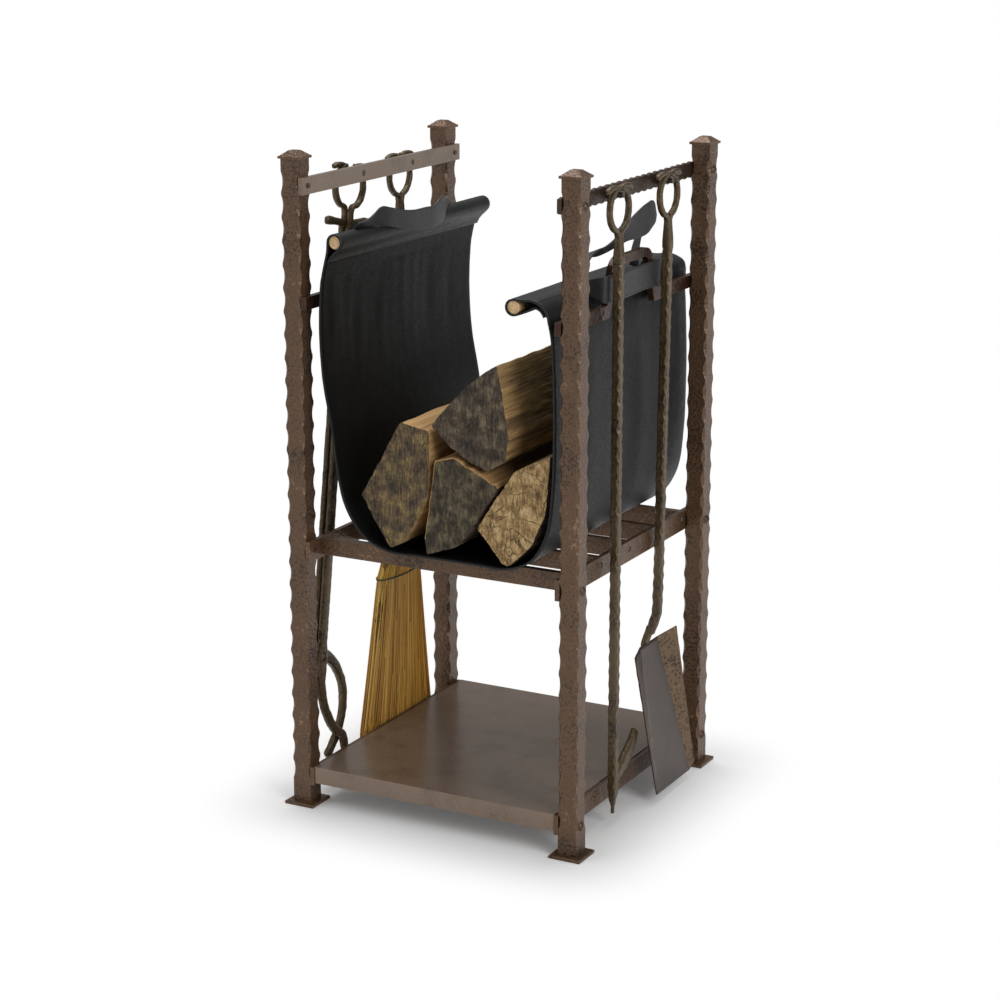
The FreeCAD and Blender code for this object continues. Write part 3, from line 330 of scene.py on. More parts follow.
def leather(name, base, dark, pale, shine=0.5):
    """Black oiled harness leather, 2.5 mm thick: a fine pebbled grain, rubbed paler on its high places."""
    material, tree, shader, place = new_material(name)
    cloud = add_node(tree, "ShaderNodeTexNoise", {"Vector": place, "Scale": 1 / (70 * MM), "Detail": 6.0})
    # The real grain is under a millimetre; 2.2 mm is as fine as it shows.
    grain = add_node(tree, "ShaderNodeTexVoronoi", {"Vector": place, "Scale": 1 / (2.2 * MM)},
                     feature="F1")
    fine = add_node(tree, "ShaderNodeTexNoise", {"Vector": place, "Scale": 1 / (3.0 * MM), "Detail": 4.0})
    tone = add_node(tree, "ShaderNodeMix", {0: 0.3, 2: cloud.outputs["Fac"], 3: fine.outputs["Fac"]})
    colour = ramp(tree, tone.outputs[0], [(0.32, dark), (0.5, base), (0.72, pale)])
    tree.links.new(colour, shader.inputs["Base Color"])
    rough = add_node(tree, "ShaderNodeMapRange", {0: fine.outputs["Fac"], 1: 0.3, 2: 0.7, 3: 0.42, 4: 0.6})
    tree.links.new(rough.outputs[0], shader.inputs["Roughness"])
    shader.inputs["Specular IOR Level"].default_value = shine
    height = add_node(tree, "ShaderNodeMix", {0: 0.45, 2: grain.outputs["Distance"], 3: fine.outputs["Fac"]})
    raise_surface(tree, shader, height.outputs[0], 0.35, 0.5)
    return material


def thread(name, base, dark):
    """Waxed linen thread: a short twist along each stitch."""
    material, tree, shader, place = new_material(name)
    twist = add_node(tree, "ShaderNodeTexWave", {"Vector": place, "Scale": 1 / (3.2 * MM), "Distortion": 1.5},
                     bands_direction="DIAGONAL")
    tree.links.new(ramp(tree, twist.outputs["Fac"], [(0.2, dark), (0.8, base)]), shader.inputs["Base Color"])
    shader.inputs["Roughness"].default_value = 0.75
    raise_surface(tree, shader, twist.outputs["Fac"], 0.4, 0.3)
    return material


def turned_wood(name, base, dark, pale):
    """Beech dowel: straight grain along its length with short flecks."""
    material, tree, shader, place = new_material(name)
    stretched = add_node(tree, "ShaderNodeMapping", {"Vector": place, "Scale": (600, 18, 600)})
    grain = add_node(tree, "ShaderNodeTexNoise",
                     {"Vector": stretched.outputs[0], "Scale": 1.0, "Detail": 4.0})
    colour = ramp(tree, grain.outputs["Fac"], [(0.3, dark), (0.5, base), (0.75, pale)])
    tree.links.new(colour, shader.inputs["Base Color"])
    shader.inputs["Roughness"].default_value = 0.6
    raise_surface(tree, shader, grain.outputs["Fac"], 0.3, 0.3)
    return material


def straw(name):
    """Broomcorn: glossy dry stems, each with its own tone, darker towards their lower ends."""
    material, tree, shader, place = new_material(name)
    own = add_node(tree, "ShaderNodeAttribute", attribute_name="stem_tone").outputs["Fac"]
    stretched = add_node(tree, "ShaderNodeMapping", {"Vector": place, "Scale": (300, 300, 14)})
    streak = add_node(tree, "ShaderNodeTexNoise",
                      {"Vector": stretched.outputs[0], "Scale": 1.0, "Detail": 3.0})
    tone = add_node(tree, "ShaderNodeMix", {0: 0.35, 2: own, 3: streak.outputs["Fac"]})
    height = add_node(tree, "ShaderNodeSeparateXYZ", {0: place}).outputs["Z"]
    # The stems are darker towards the bottom.
    low = add_node(tree, "ShaderNodeMapRange", {0: height, 1: 0.02, 2: 0.2, 3: -0.16, 4: 0.0}).outputs[0]
    darker_low_tone = add_node(tree, "ShaderNodeMath", {0: tone.outputs[0], 1: low}, operation="ADD").outputs[0]
    colour = ramp(tree, darker_low_tone, [(0.08, "#7a4e20"), (0.28, "#bb8433"), (0.5, "#e3b14b"), (0.82, "#f4d37a")])
    tree.links.new(colour, shader.inputs["Base Color"])
    shader.inputs["Roughness"].default_value = 0.5
    return material


def split_wood(name, pale, mid, dark):
    """Air-dried oak split along its grain: long torn fibres, greyed in places."""
    material, tree, shader, place = new_material(name)
    fibres = add_node(tree, "ShaderNodeMapping", {"Vector": place, "Scale": (420, 9, 420)})
    fine = add_node(tree, "ShaderNodeTexNoise", {"Vector": fibres.outputs[0], "Scale": 1.0, "Detail": 6.0})
    bands = add_node(tree, "ShaderNodeMapping", {"Vector": place, "Scale": (60, 4, 60)})
    broad = add_node(tree, "ShaderNodeTexNoise", {"Vector": bands.outputs[0], "Scale": 1.0, "Detail": 4.0})
    tone = add_node(tree, "ShaderNodeMix", {0: 0.5, 2: fine.outputs["Fac"], 3: broad.outputs["Fac"]})
    colour = ramp(tree, tone.outputs[0], [(0.32, dark), (0.48, mid), (0.66, pale)])
    tree.links.new(colour, shader.inputs["Base Color"])
    shader.inputs["Roughness"].default_value = 0.85
    raise_surface(tree, shader, fine.outputs["Fac"], 0.8, 1.2)
    return material


def bark(name):
    """Old hardwood bark: long ridges with dark furrows between them."""
    material, tree, shader, place = new_material(name)
    stretched = add_node(tree, "ShaderNodeMapping", {"Vector": place, "Scale": (110, 26, 110)})
    ridges = add_node(tree, "ShaderNodeTexVoronoi", {"Vector": stretched.outputs[0], "Scale": 1.0},
                      feature="F1")
    rough = add_node(tree, "ShaderNodeTexNoise",
                     {"Vector": stretched.outputs[0], "Scale": 3.0, "Detail": 6.0})
    tone = add_node(tree, "ShaderNodeMix", {0: 0.5, 2: ridges.outputs["Distance"], 3: rough.outputs["Fac"]})
    colour = ramp(tree, tone.outputs[0], [(0.3, "#6d5a48"), (0.48, "#54402f"), (0.62, "#2e221a")])
    tree.links.new(colour, shader.inputs["Base Color"])
    shader.inputs["Roughness"].default_value = 0.9
    raise_surface(tree, shader, tone.outputs[0], 1.0, 3, invert=True)
    return material


def end_grain(name, light, pale, mid, dark, checks):
    """A weathered sawn log end: greyed blotches, fibres torn by the saw, and thin drying checks."""
    material, tree, shader, place = new_material(name)
    blotch = add_node(tree, "ShaderNodeTexNoise", {"Vector": place, "Scale": 1 / (17 * MM), "Detail": 8.0,
                                                   "Roughness": 0.68})
    torn = add_node(tree, "ShaderNodeMapping",
                    {"Vector": place, "Rotation": (0, 0.16, 0), "Scale": (420, 420, 75)})
    fibre = add_node(tree, "ShaderNodeTexNoise", {"Vector": torn.outputs[0], "Scale": 1.0, "Detail": 5.0,
                                                  "Roughness": 0.7})
    tone = add_node(tree, "ShaderNodeMix", {0: 0.42, 2: blotch.outputs["Fac"], 3: fibre.outputs["Fac"]})
    colour = ramp(tree, tone.outputs[0], [(0.41, dark), (0.475, mid), (0.535, pale), (0.62, light)])
    warp = add_node(tree, "ShaderNodeTexNoise", {"Vector": place, "Scale": 1 / (12 * MM), "Detail": 4.0})
    pushed = add_node(tree, "ShaderNodeVectorMath",
                      {0: warp.outputs["Color"], 1: (0.012, 0.0, 0.012), 2: place}, operation="MULTIPLY_ADD")
    cells = add_node(tree, "ShaderNodeTexVoronoi", {"Vector": pushed.outputs[0], "Scale": 1 / (26 * MM)},
                     feature="DISTANCE_TO_EDGE")
    line = ramp(tree, cells.outputs["Distance"], [(0.006, 1.0), (0.022, 0.0)])
    some = ramp(tree, blotch.outputs["Fac"], [(0.46, 0.0), (0.6, checks)])
    check = add_node(tree, "ShaderNodeMath", {0: line, 1: some}, operation="MULTIPLY").outputs[0]
    cracked = add_node(tree, "ShaderNodeMix", {0: check, 6: colour, 7: hex_rgb("#1f1812")}, data_type="RGBA")
    tree.links.new(cracked.outputs[2], shader.inputs["Base Color"])
    shader.inputs["Roughness"].default_value = 0.9
    height = add_node(tree, "ShaderNodeMath", {0: tone.outputs[0], 1: check}, operation="SUBTRACT")
    raise_surface(tree, shader, height.outputs[0], 0.9, 2.2)
    return material


FRAME_STEEL = forged_steel("bronze lacquered forged steel", "#5e4632", "#2f2218", "#96765a", (0.3, 0.48),
                           dimple_mm=3.4, dimple=1.0)
SHEET_STEEL = forged_steel("bronze lacquered steel sheet", "#7d6b5c", "#66574b", "#96816f", (0.2, 0.28),
                           dimple_mm=2.4, dimple=0.12)
RAIL_STEEL = forged_steel("dark bronze hammered rail", "#43342a", "#2b2019", "#8d7058", (0.3, 0.46),
                          dimple_mm=3.6, dimple=0.8, metallic=0.4)
CARRIER_STEEL = forged_steel("copper bronze forged carrier bars", "#3d271b", "#24160f", "#9a6a45",
                             (0.26, 0.4), dimple_mm=7.0, dimple=0.7, metallic=0.55)
TOOL_STEEL = forged_steel("oil blackened forged tool steel", "#54452f", "#2a2118", "#96795a", (0.3, 0.48),
                          dimple_mm=4.5, dimple=0.7, metallic=0.45)
BOLT_STEEL = forged_steel("bronze lacquered bolt heads", "#4a392d", "#33271f", "#8f745c", (0.28, 0.4),
                          dimple_mm=4.0, dimple=0.3, metallic=0.45)
# The shovel's right wall: hammered, and painted lighter than the floor as painted light.
LIT_HAMMERED_BLADE_STEEL = forged_steel("hammered shovel plate painted lighter as lit", "#6e5842", "#2f241b", "#a38a6c", (0.34, 0.48),
                           dimple_mm=4.2, dimple=1.0)
PLATE_STEEL = forged_steel("smooth shovel plate", "#463b34", "#3a302a", "#6d5b4d", (0.3, 0.4),
                           dimple_mm=2.4, dimple=0.15)
SLING_LEATHER = leather("black oiled harness leather", "#101112", "#0b0c0c", "#1c1d1e", 0.34)
# The sling's inner face is darker than its outer one as painted shade.
SHADED_INNER_LEATHER = leather("black harness leather darkened inside as painted shade", "#0b0b0a", "#070707", "#121211", 0.12)
STRAP_LEATHER = leather("black bridle strap leather", "#2a2a2c", "#19191b", "#404044")
BEECH = turned_wood("turned beech dowel", "#d3b182", "#b9925f", "#e6cda3")
STRAW = straw("broomcorn straw")
STRAW_CORE = split_wood("packed straw core", "#a17c3a", "#7a5a28", "#4a3518")
GREEN_THREAD = thread("green waxed broom twine", "#3f5a44", "#1f3326")
BLACK_THREAD = thread("black waxed linen thread", "#3a3836", "#1f1e1d")
BARK = bark("furrowed oak bark")
PALE_OAK = split_wood("freshly split pale oak", "#c19f6e", "#a07c4c", "#6b4f2e")
SPLIT_OAK = split_wood("split dry oak", "#9a8258", "#705a3a", "#3f3120")
OLD_OAK = split_wood("weathered golden oak side", "#c09c62", "#8d6f47", "#423322")


# ---- the frame: its parts stay, with better finishes ------------------------------
FRAME_FINISHES = {
    "post_": FRAME_STEEL, "cap_": FRAME_STEEL, "foot_": FRAME_STEEL, "tool_rail_left": SHEET_STEEL,
    "shelf_rail_": FRAME_STEEL, "base_rail_": FRAME_STEEL, "carrier_bar_": CARRIER_STEEL,
    "shelf_slat_": FRAME_STEEL, "base_tray": SHEET_STEEL, "frame_bolts_": BOLT_STEEL,
    "slat_screws": BOLT_STEEL, "tray_screws": BOLT_STEEL, "peg_": RAIL_STEEL, "tongs_rivet": BOLT_STEEL,
    "dowel_": BEECH,
}
rail_low, rail_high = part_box("tool_rail_right")
rail_middle, rail_half = middle("tool_rail_right"), (rail_high - rail_low) / 2 / MM
RAIL_STATIONS = 162
RAIL_SCALLOP_PITCH, RAIL_SCALLOP_DEPTH = 17, 1.7
rail_line = []
for step in range(RAIL_STATIONS + 1):
    y = rail_low.y / MM + 0.3 + (rail_high.y - rail_low.y) / MM * step / RAIL_STATIONS * 0.998
    # The hammer has left a row of scallops along the rail's edges.
    scallop = RAIL_SCALLOP_DEPTH * abs(math.sin(math.pi * y / RAIL_SCALLOP_PITCH)) ** 1.5
    rail_line.append((rail_middle.x, y, rail_middle.z, rail_half.x - 0.1, rail_half.z - scallop))
forged_rail = piece("tool_rail_right_forged", [swept(rail_line, X_AXIS, 0.34, 28, 0.3, (0, 0), seed=13)],
                    RAIL_STEEL, 40)
finish_piece(forged_rail, "rack", "frame_bronze", "tool_rail_right")

for node_name, node_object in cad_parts.items():
    for start, finish in FRAME_FINISHES.items():
        if node_name.startswith(start):
            node_object.data.materials.clear()
            node_object.data.materials.append(finish)


# ---- hanging loops and shanks -------------------------------------------------------
def on_loop(hand, y, angle, radius=LOOP_RADIUS):
    """A point of the loop's centre line; the angle is from the top, in degrees."""
    turn = math.radians(angle)
    return y + hand * radius * math.sin(turn), LOOP_CENTRE_Z + radius * math.cos(turn)


def loop_half(hand, x, y, seed, deep=3.8, apart=3.0, thick=1.5):
    """Shells of one bowed arm with its strand, and the horn that turns out over the peg."""
    near, lean = y + hand * apart, y + hand * (apart + 0.3)
    foot = [(x, near, COLLAR_TOP - 17, deep * thick, 3.0), (x, near, COLLAR_TOP - 8, deep * thick, 3.1),
            (x, near, COLLAR_TOP + 4, deep * (1 + thick) / 2, 3.1), (x, lean, COLLAR_TOP + 16, deep, 3.1),
            (x, y + hand * (apart + 3), COLLAR_TOP + 22.3, deep, 3.2)]
    round_ = [(x, *on_loop(hand, y, angle), deep, 3.4) for angle in range(152, 11, -14)]
    neck = [(x, *on_loop(hand, y, 8), deep * 0.92, 3.3)]
    arm = evenly(spline(foot + round_ + neck, 4), LOOP_PITCH)
    neck_y, neck_z = on_loop(hand, y, 11)
    horn_keys = [(x, neck_y, neck_z - 1, deep * 0.85, 2.9),
                 (x, neck_y + hand * 7, neck_z + 1.5, deep * 0.85, 3.0),
                 (x, neck_y + hand * 14, neck_z + 1.7, deep * 0.9, 3.1),
                 (x, neck_y + hand * 21, neck_z + 0.4, deep * 0.95, 3.5),
                 (x, neck_y + hand * 26, neck_z - 1.2, deep * 0.85, 3.4)]
    horn = evenly(spline(horn_keys, 5), LOOP_PITCH)
    return [swept(arm, X_AXIS, 0.62, 14, 0.35, (0.4, 0.8), seed=seed),
            swept(horn, X_AXIS, 0.7, 14, 0.3, (0, 1.0), seed=seed + 3)]


def hanging_top(x, y, seed):
    """Shells of the whole loop: both bowed arms."""
    return loop_half(-1, x, y, seed) + loop_half(1, x, y, seed + 7)


def to_point(blunt):
    """A taper that holds the full size and runs to a blunt point at the end."""
    return lambda t: 1.0 if t < 0.955 else max(blunt, 1 - ((t - 0.955) / 0.045) ** 1.5)


right_x, left_x = SHANK_X, -SHANK_X
poker_y, shovel_y = -PEG_Y, PEG_Y

poker_top = piece("poker_loop_forged", hanging_top(right_x, poker_y, 1.0), TOOL_STEEL)
finish_piece(poker_top, "poker", "tool_bronze", "poker_loop")
poker_tip_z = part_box("poker_shank")[0].z / MM
poker_line = [Vector((right_x, poker_y, COLLAR_TOP - 8)), Vector((right_x, poker_y, poker_tip_z + 0.5))]
hook_keys = [(right_x, poker_y - 2, 60, 4.8, 5.6), (right_x - 1, poker_y + 13, 64, 5.4, 9.0),
             (right_x - 2, poker_y + 32, 72, 5.6, 10.0), (right_x - 3.5, poker_y + 51, 81.5, 5.4, 9.6),
             (right_x - 5, poker_y + 65, 91, 5.0, 8.6), (right_x - 6, poker_y + 74, 99, 4.4, 7.4)]
poker_bar = piece("poker_shank_forged",
                  [forged_bar(poker_line, X_AXIS, SHANK_HALF, 0.2, taper=to_point(0.36)),
                   swept(evenly(spline(hook_keys, 6), HOOK_PITCH), X_AXIS, 0.75, 14, 0.5, (0, 0.9), seed=2)],
                  TOOL_STEEL, 24)
finish_piece(poker_bar, "poker", "tool_bronze", "poker_shank", "poker_hook")

shovel_top = piece("shovel_loop_forged", hanging_top(right_x, shovel_y, 5.0), TOOL_STEEL)
finish_piece(shovel_top, "shovel", "tool_bronze", "shovel_loop")
blade_top = Vector((171.5, shovel_y, 200.0))
blade_run = Vector((39.5, 0, -188.0)).normalized()
blade_out = Vector((-blade_run.z, 0, blade_run.x))
tongue = [blade_top + blade_run * d - blade_out * o for d, o in ((8, 5.2), (26, 4.0), (45, 2.2))]
shovel_keys = [(right_x, shovel_y, COLLAR_TOP - 8), (right_x - 3.2, shovel_y, 480),
               (right_x - 6.1, shovel_y, 262), (right_x - 7.5, shovel_y, 238),
               tuple(tongue[0] + Vector((7.2, 0, 20)))]
shovel_line = spline(shovel_keys, 8)
tongue_keys = [tuple(shovel_line[-1] + Vector((0.8, 0, 7))) + (5.0, 5.8), tuple(tongue[0]) + (4.0, 7.5),
               tuple(tongue[1]) + (3.0, 9.5), tuple(tongue[2]) + (1.7, 6.0)]
shovel_bar = piece("shovel_shank_forged",
                   [forged_bar(shovel_line, X_AXIS, SHANK_HALF, 0.6),
                    swept(evenly(spline(tongue_keys, 6), HOOK_PITCH), X_AXIS, 0.6, 14, 0.3, (0, 0.5),
                          seed=4)], TOOL_STEEL, 24)
finish_piece(shovel_bar, "shovel", "tool_bronze", "shovel_shank")

# The blade's outline at its top and bottom: left wall's edge, the two folds, and right wall's edge.
BLADE_TOP = [(186.5, 1, 198), (172.2, 47, 196.8), (172.2, 97, 196.8), (187, 126, 206)]
BLADE_BOTTOM = [(212.6, 16.2, 14), (211, 19.5, 12), (211, 121, 12), (213.4, 131.5, 21)]
plate_points, plate_faces, plate_finish_and_shade_groups = [], [], []
PLATE_ROWS, PLATE_COLUMNS, PLATE_THICKNESS = 40, 36, 1.6
for row in range(PLATE_ROWS + 1):
    share = row / PLATE_ROWS
    corners = [Vector(a).lerp(Vector(b), share) for a, b in zip(BLADE_TOP, BLADE_BOTTOM)]
    for column in range(PLATE_COLUMNS + 1):
        walk = column / PLATE_COLUMNS * 3
        side = min(int(walk), 2)
        place = corners[side].lerp(corners[side + 1], walk - side)
        dent = 0.5 * noise.noise(place / 9) + 0.25 * noise.noise(place / 4)
        plate_points.append(place - blade_out * dent * (1.0 if side != 1 else 0.25))
for row in range(PLATE_ROWS):
    for column in range(PLATE_COLUMNS):
        a = row * (PLATE_COLUMNS + 1) + column
        plate_faces.append((a, a + 1, a + PLATE_COLUMNS + 2, a + PLATE_COLUMNS + 1))
        # The left wall takes the dark carrier steel as painted shade, the floor the smooth plate, and the
        # right wall the hammered plate, painted lighter as painted light.
        plate_finish_and_shade_groups.append((2, 0, 1)[column * 3 // PLATE_COLUMNS])
blade = piece("shovel_blade_plate", [(plate_points, plate_faces)], PLATE_STEEL, 20)
blade.data.materials.append(LIT_HAMMERED_BLADE_STEEL)
# The dark carrier steel on the blade's left wall is painted shade.
blade.data.materials.append(CARRIER_STEEL)
blade.data.polygons.foreach_set("material_index", plate_finish_and_shade_groups)
plate = blade.modifiers.new("plate thickness", "SOLIDIFY")
plate.thickness = PLATE_THICKNESS * MM
plate.offset = 0.0
finish_piece(blade, "shovel", "tool_bronze", "shovel_blade", "shovel_rivets")


# ---- tongs: two arms that cross at the rivet ------------------------------------------
# The rivet's height while the tongs are straight; they are then leaned about the peg.
TONGS_PIVOT_Z = 178.0
TONGS_HALF_X = 4.05
TONGS_Y = middle("peg_tongs").y
rivet = middle("tongs_rivet")
TONGS_LEAN = math.atan2(TONGS_Y - rivet.y, PEG_Z - rivet.z)
TONGS_HANG = (Matrix.Translation((left_x, TONGS_Y, PEG_Z)) @ Matrix.Rotation(-TONGS_LEAN, 4, "X")
              @ Matrix.Translation((-left_x, -TONGS_Y, -PEG_Z)))
# Middle lines of the outer (-1) and inner (1) jaws: across and above the rivet, with the half width.
JAWS = {-1: [(19.4, -2.5, 9.0), (37.6, -10.5, 7.2), (53.3, -23.3, 6.6), (66.0, -39.7, 6.4),
             (73.5, -57.8, 6.3), (75.5, -76.2, 6.2), (72.3, -95.4, 6.0), (65.0, -113.0, 5.8),
             (54, -127.5, 5.8), (45, -138, 6.2)],
        1: [(1.0, -17.3, 9.0), (2.5, -34.9, 7.0), (7.6, -52.0, 6.4), (14.7, -68.0, 6.3), (24.9, -82.3, 6.2),
            (36.7, -95.4, 6.0), (50.6, -105.7, 5.8), (65.0, -113.0, 5.8), (70, -123, 5.8), (73, -130.5, 6.0)]}


def tongs_arm(hand, x, seed):
    """Shells of one arm, hanging straight down: half a loop, a finger grip, the bar, and a bowed jaw."""
    y, half = TONGS_Y, TONGS_HALF_X
    shells = loop_half(hand, x, y, seed, half, -0.5, 1.0)
    grip_z = PEG_Z - 62
    grip = [(x, y + hand * 1, grip_z - 2, half * 0.95, 5.0), (x, y + hand * 12, grip_z - 1, half * 0.95, 4.6),
            (x, y + hand * 24, grip_z, half * 0.95, 4.8), (x, y + hand * 34, grip_z + 0.6, half, 5.8),
            (x, y + hand * 40, grip_z + 0.6, half * 0.9, 5.2)]
    shells.append(swept(evenly(spline(grip, 5), LOOP_PITCH), X_AXIS, 0.7, 14, 0.4, (0, 0.9), seed=seed))
    bar_keys = [(x, y + hand * 1.5, COLLAR_TOP + 6, half * 0.95, 5.2),
                (x, y + hand * 0.8, COLLAR_TOP - 8, half, 7.0), (x, y, COLLAR_TOP - 40, half, 7.2),
                (x, y, 450, half, 7.4), (x, y, TONGS_PIVOT_Z + 30, half, 7.4),
                (x, y, TONGS_PIVOT_Z + 14, half, 7.4), (x, y, TONGS_PIVOT_Z + 7, half, 10.2),
                (x, y, TONGS_PIVOT_Z, half, 11.0)]
    bar_keys += [(x, y + across, TONGS_PIVOT_Z + up, half, wide) for across, up, wide in JAWS[hand]]
    bar = evenly(spline(bar_keys, 6), BAR_PITCH)
    shells.append(swept(bar, X_AXIS, 0.5, 16, 0.55, (0, 0.8), seed=seed + 11))
    return placed(shells, TONGS_HANG)


outer_arm = piece("tongs_outer_arm_forged", tongs_arm(-1, middle("tongs_arm_outer").x, 21.0), TOOL_STEEL, 30)
finish_piece(outer_arm, "tongs", "tool_bronze", "tongs_arm_outer")
inner_arm = piece("tongs_inner_arm_forged", tongs_arm(1, middle("tongs_arm_inner").x, 25.0), TOOL_STEEL, 30)
finish_piece(inner_arm, "tongs_arm", "tool_bronze", "tongs_arm_inner")


# ---- broom ------------------------------------------------------------------------
broom_y = PEG_Y
ferrule_low, ferrule_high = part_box("broom_ferrule")
straw_low, straw_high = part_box("broom_bristles")
FERRULE_TOP, FERRULE_BOTTOM = ferrule_high.z / MM, ferrule_low.z / MM
BAND_Z = 246.0
STRAW_END_Z = straw_low.z / MM
STRAW_END_Y = middle("broom_bristles").y
# Half width, half depth and middle of the straw at the ferrule, at the twine, and at its tips.
STRAW_ROOT = (9.5, 15.5)
STRAW_BAND = (13.6, 52.0)
STRAW_TIPS = (17.0, (straw_high.y - straw_low.y) / 2 / MM - 1)
BAND_MIDDLE = (left_x, broom_y - 13)
TIPS_MIDDLE = (left_x - 8, STRAW_END_Y)

broom_top = piece("broom_loop_forged", hanging_top(left_x, broom_y, 9.0), TOOL_STEEL)
finish_piece(broom_top, "broom", "tool_bronze", "broom_loop")
broom_line = [Vector((left_x, broom_y, COLLAR_TOP - 8)), Vector((left_x, broom_y, FERRULE_TOP - 2))]
broom_bar = piece("broom_shank_forged", [forged_bar(broom_line, X_AXIS, SHANK_HALF, 0.9)], TOOL_STEEL, 24)
finish_piece(broom_bar, "broom", "tool_bronze", "broom_shank")
cap_keys = [(left_x, broom_y, FERRULE_TOP + 1, 6.2, 6.6), (left_x, broom_y, FERRULE_TOP - 1.5, 9.0, 12.5),
            (left_x, broom_y, FERRULE_TOP - 6, 10.4, 15.6), (left_x, broom_y, FERRULE_BOTTOM + 6, 10.8, 16.6),
            (left_x, broom_y, FERRULE_BOTTOM + 3, 11.3, 17.2),
            (left_x, broom_y, FERRULE_BOTTOM - 1, 11.2, 17.2)]
ferrule = piece("broom_ferrule_cap", [swept(spline(cap_keys, 5), X_AXIS, 0.8, 36, 0.25, (0, 0), seed=6)],
                TOOL_STEEL, 50)
finish_piece(ferrule, "broom", "tool_bronze", "broom_ferrule")
core_keys = [(left_x, broom_y, FERRULE_BOTTOM + 2, 8.5, 14.0), (*BAND_MIDDLE, BAND_Z, 11.2, 48.0),
             (*TIPS_MIDDLE, STRAW_END_Z + 34, 13.5, STRAW_TIPS[1] - 10)]
core = piece("broom_straw_core",
             [swept(evenly(spline(core_keys, 8), 6), X_AXIS, 0.85, 32, 1.0, (0, 0), seed=8)], STRAW_CORE, 60)
finish_piece(core, "broom", "straw", "broom_bristles")


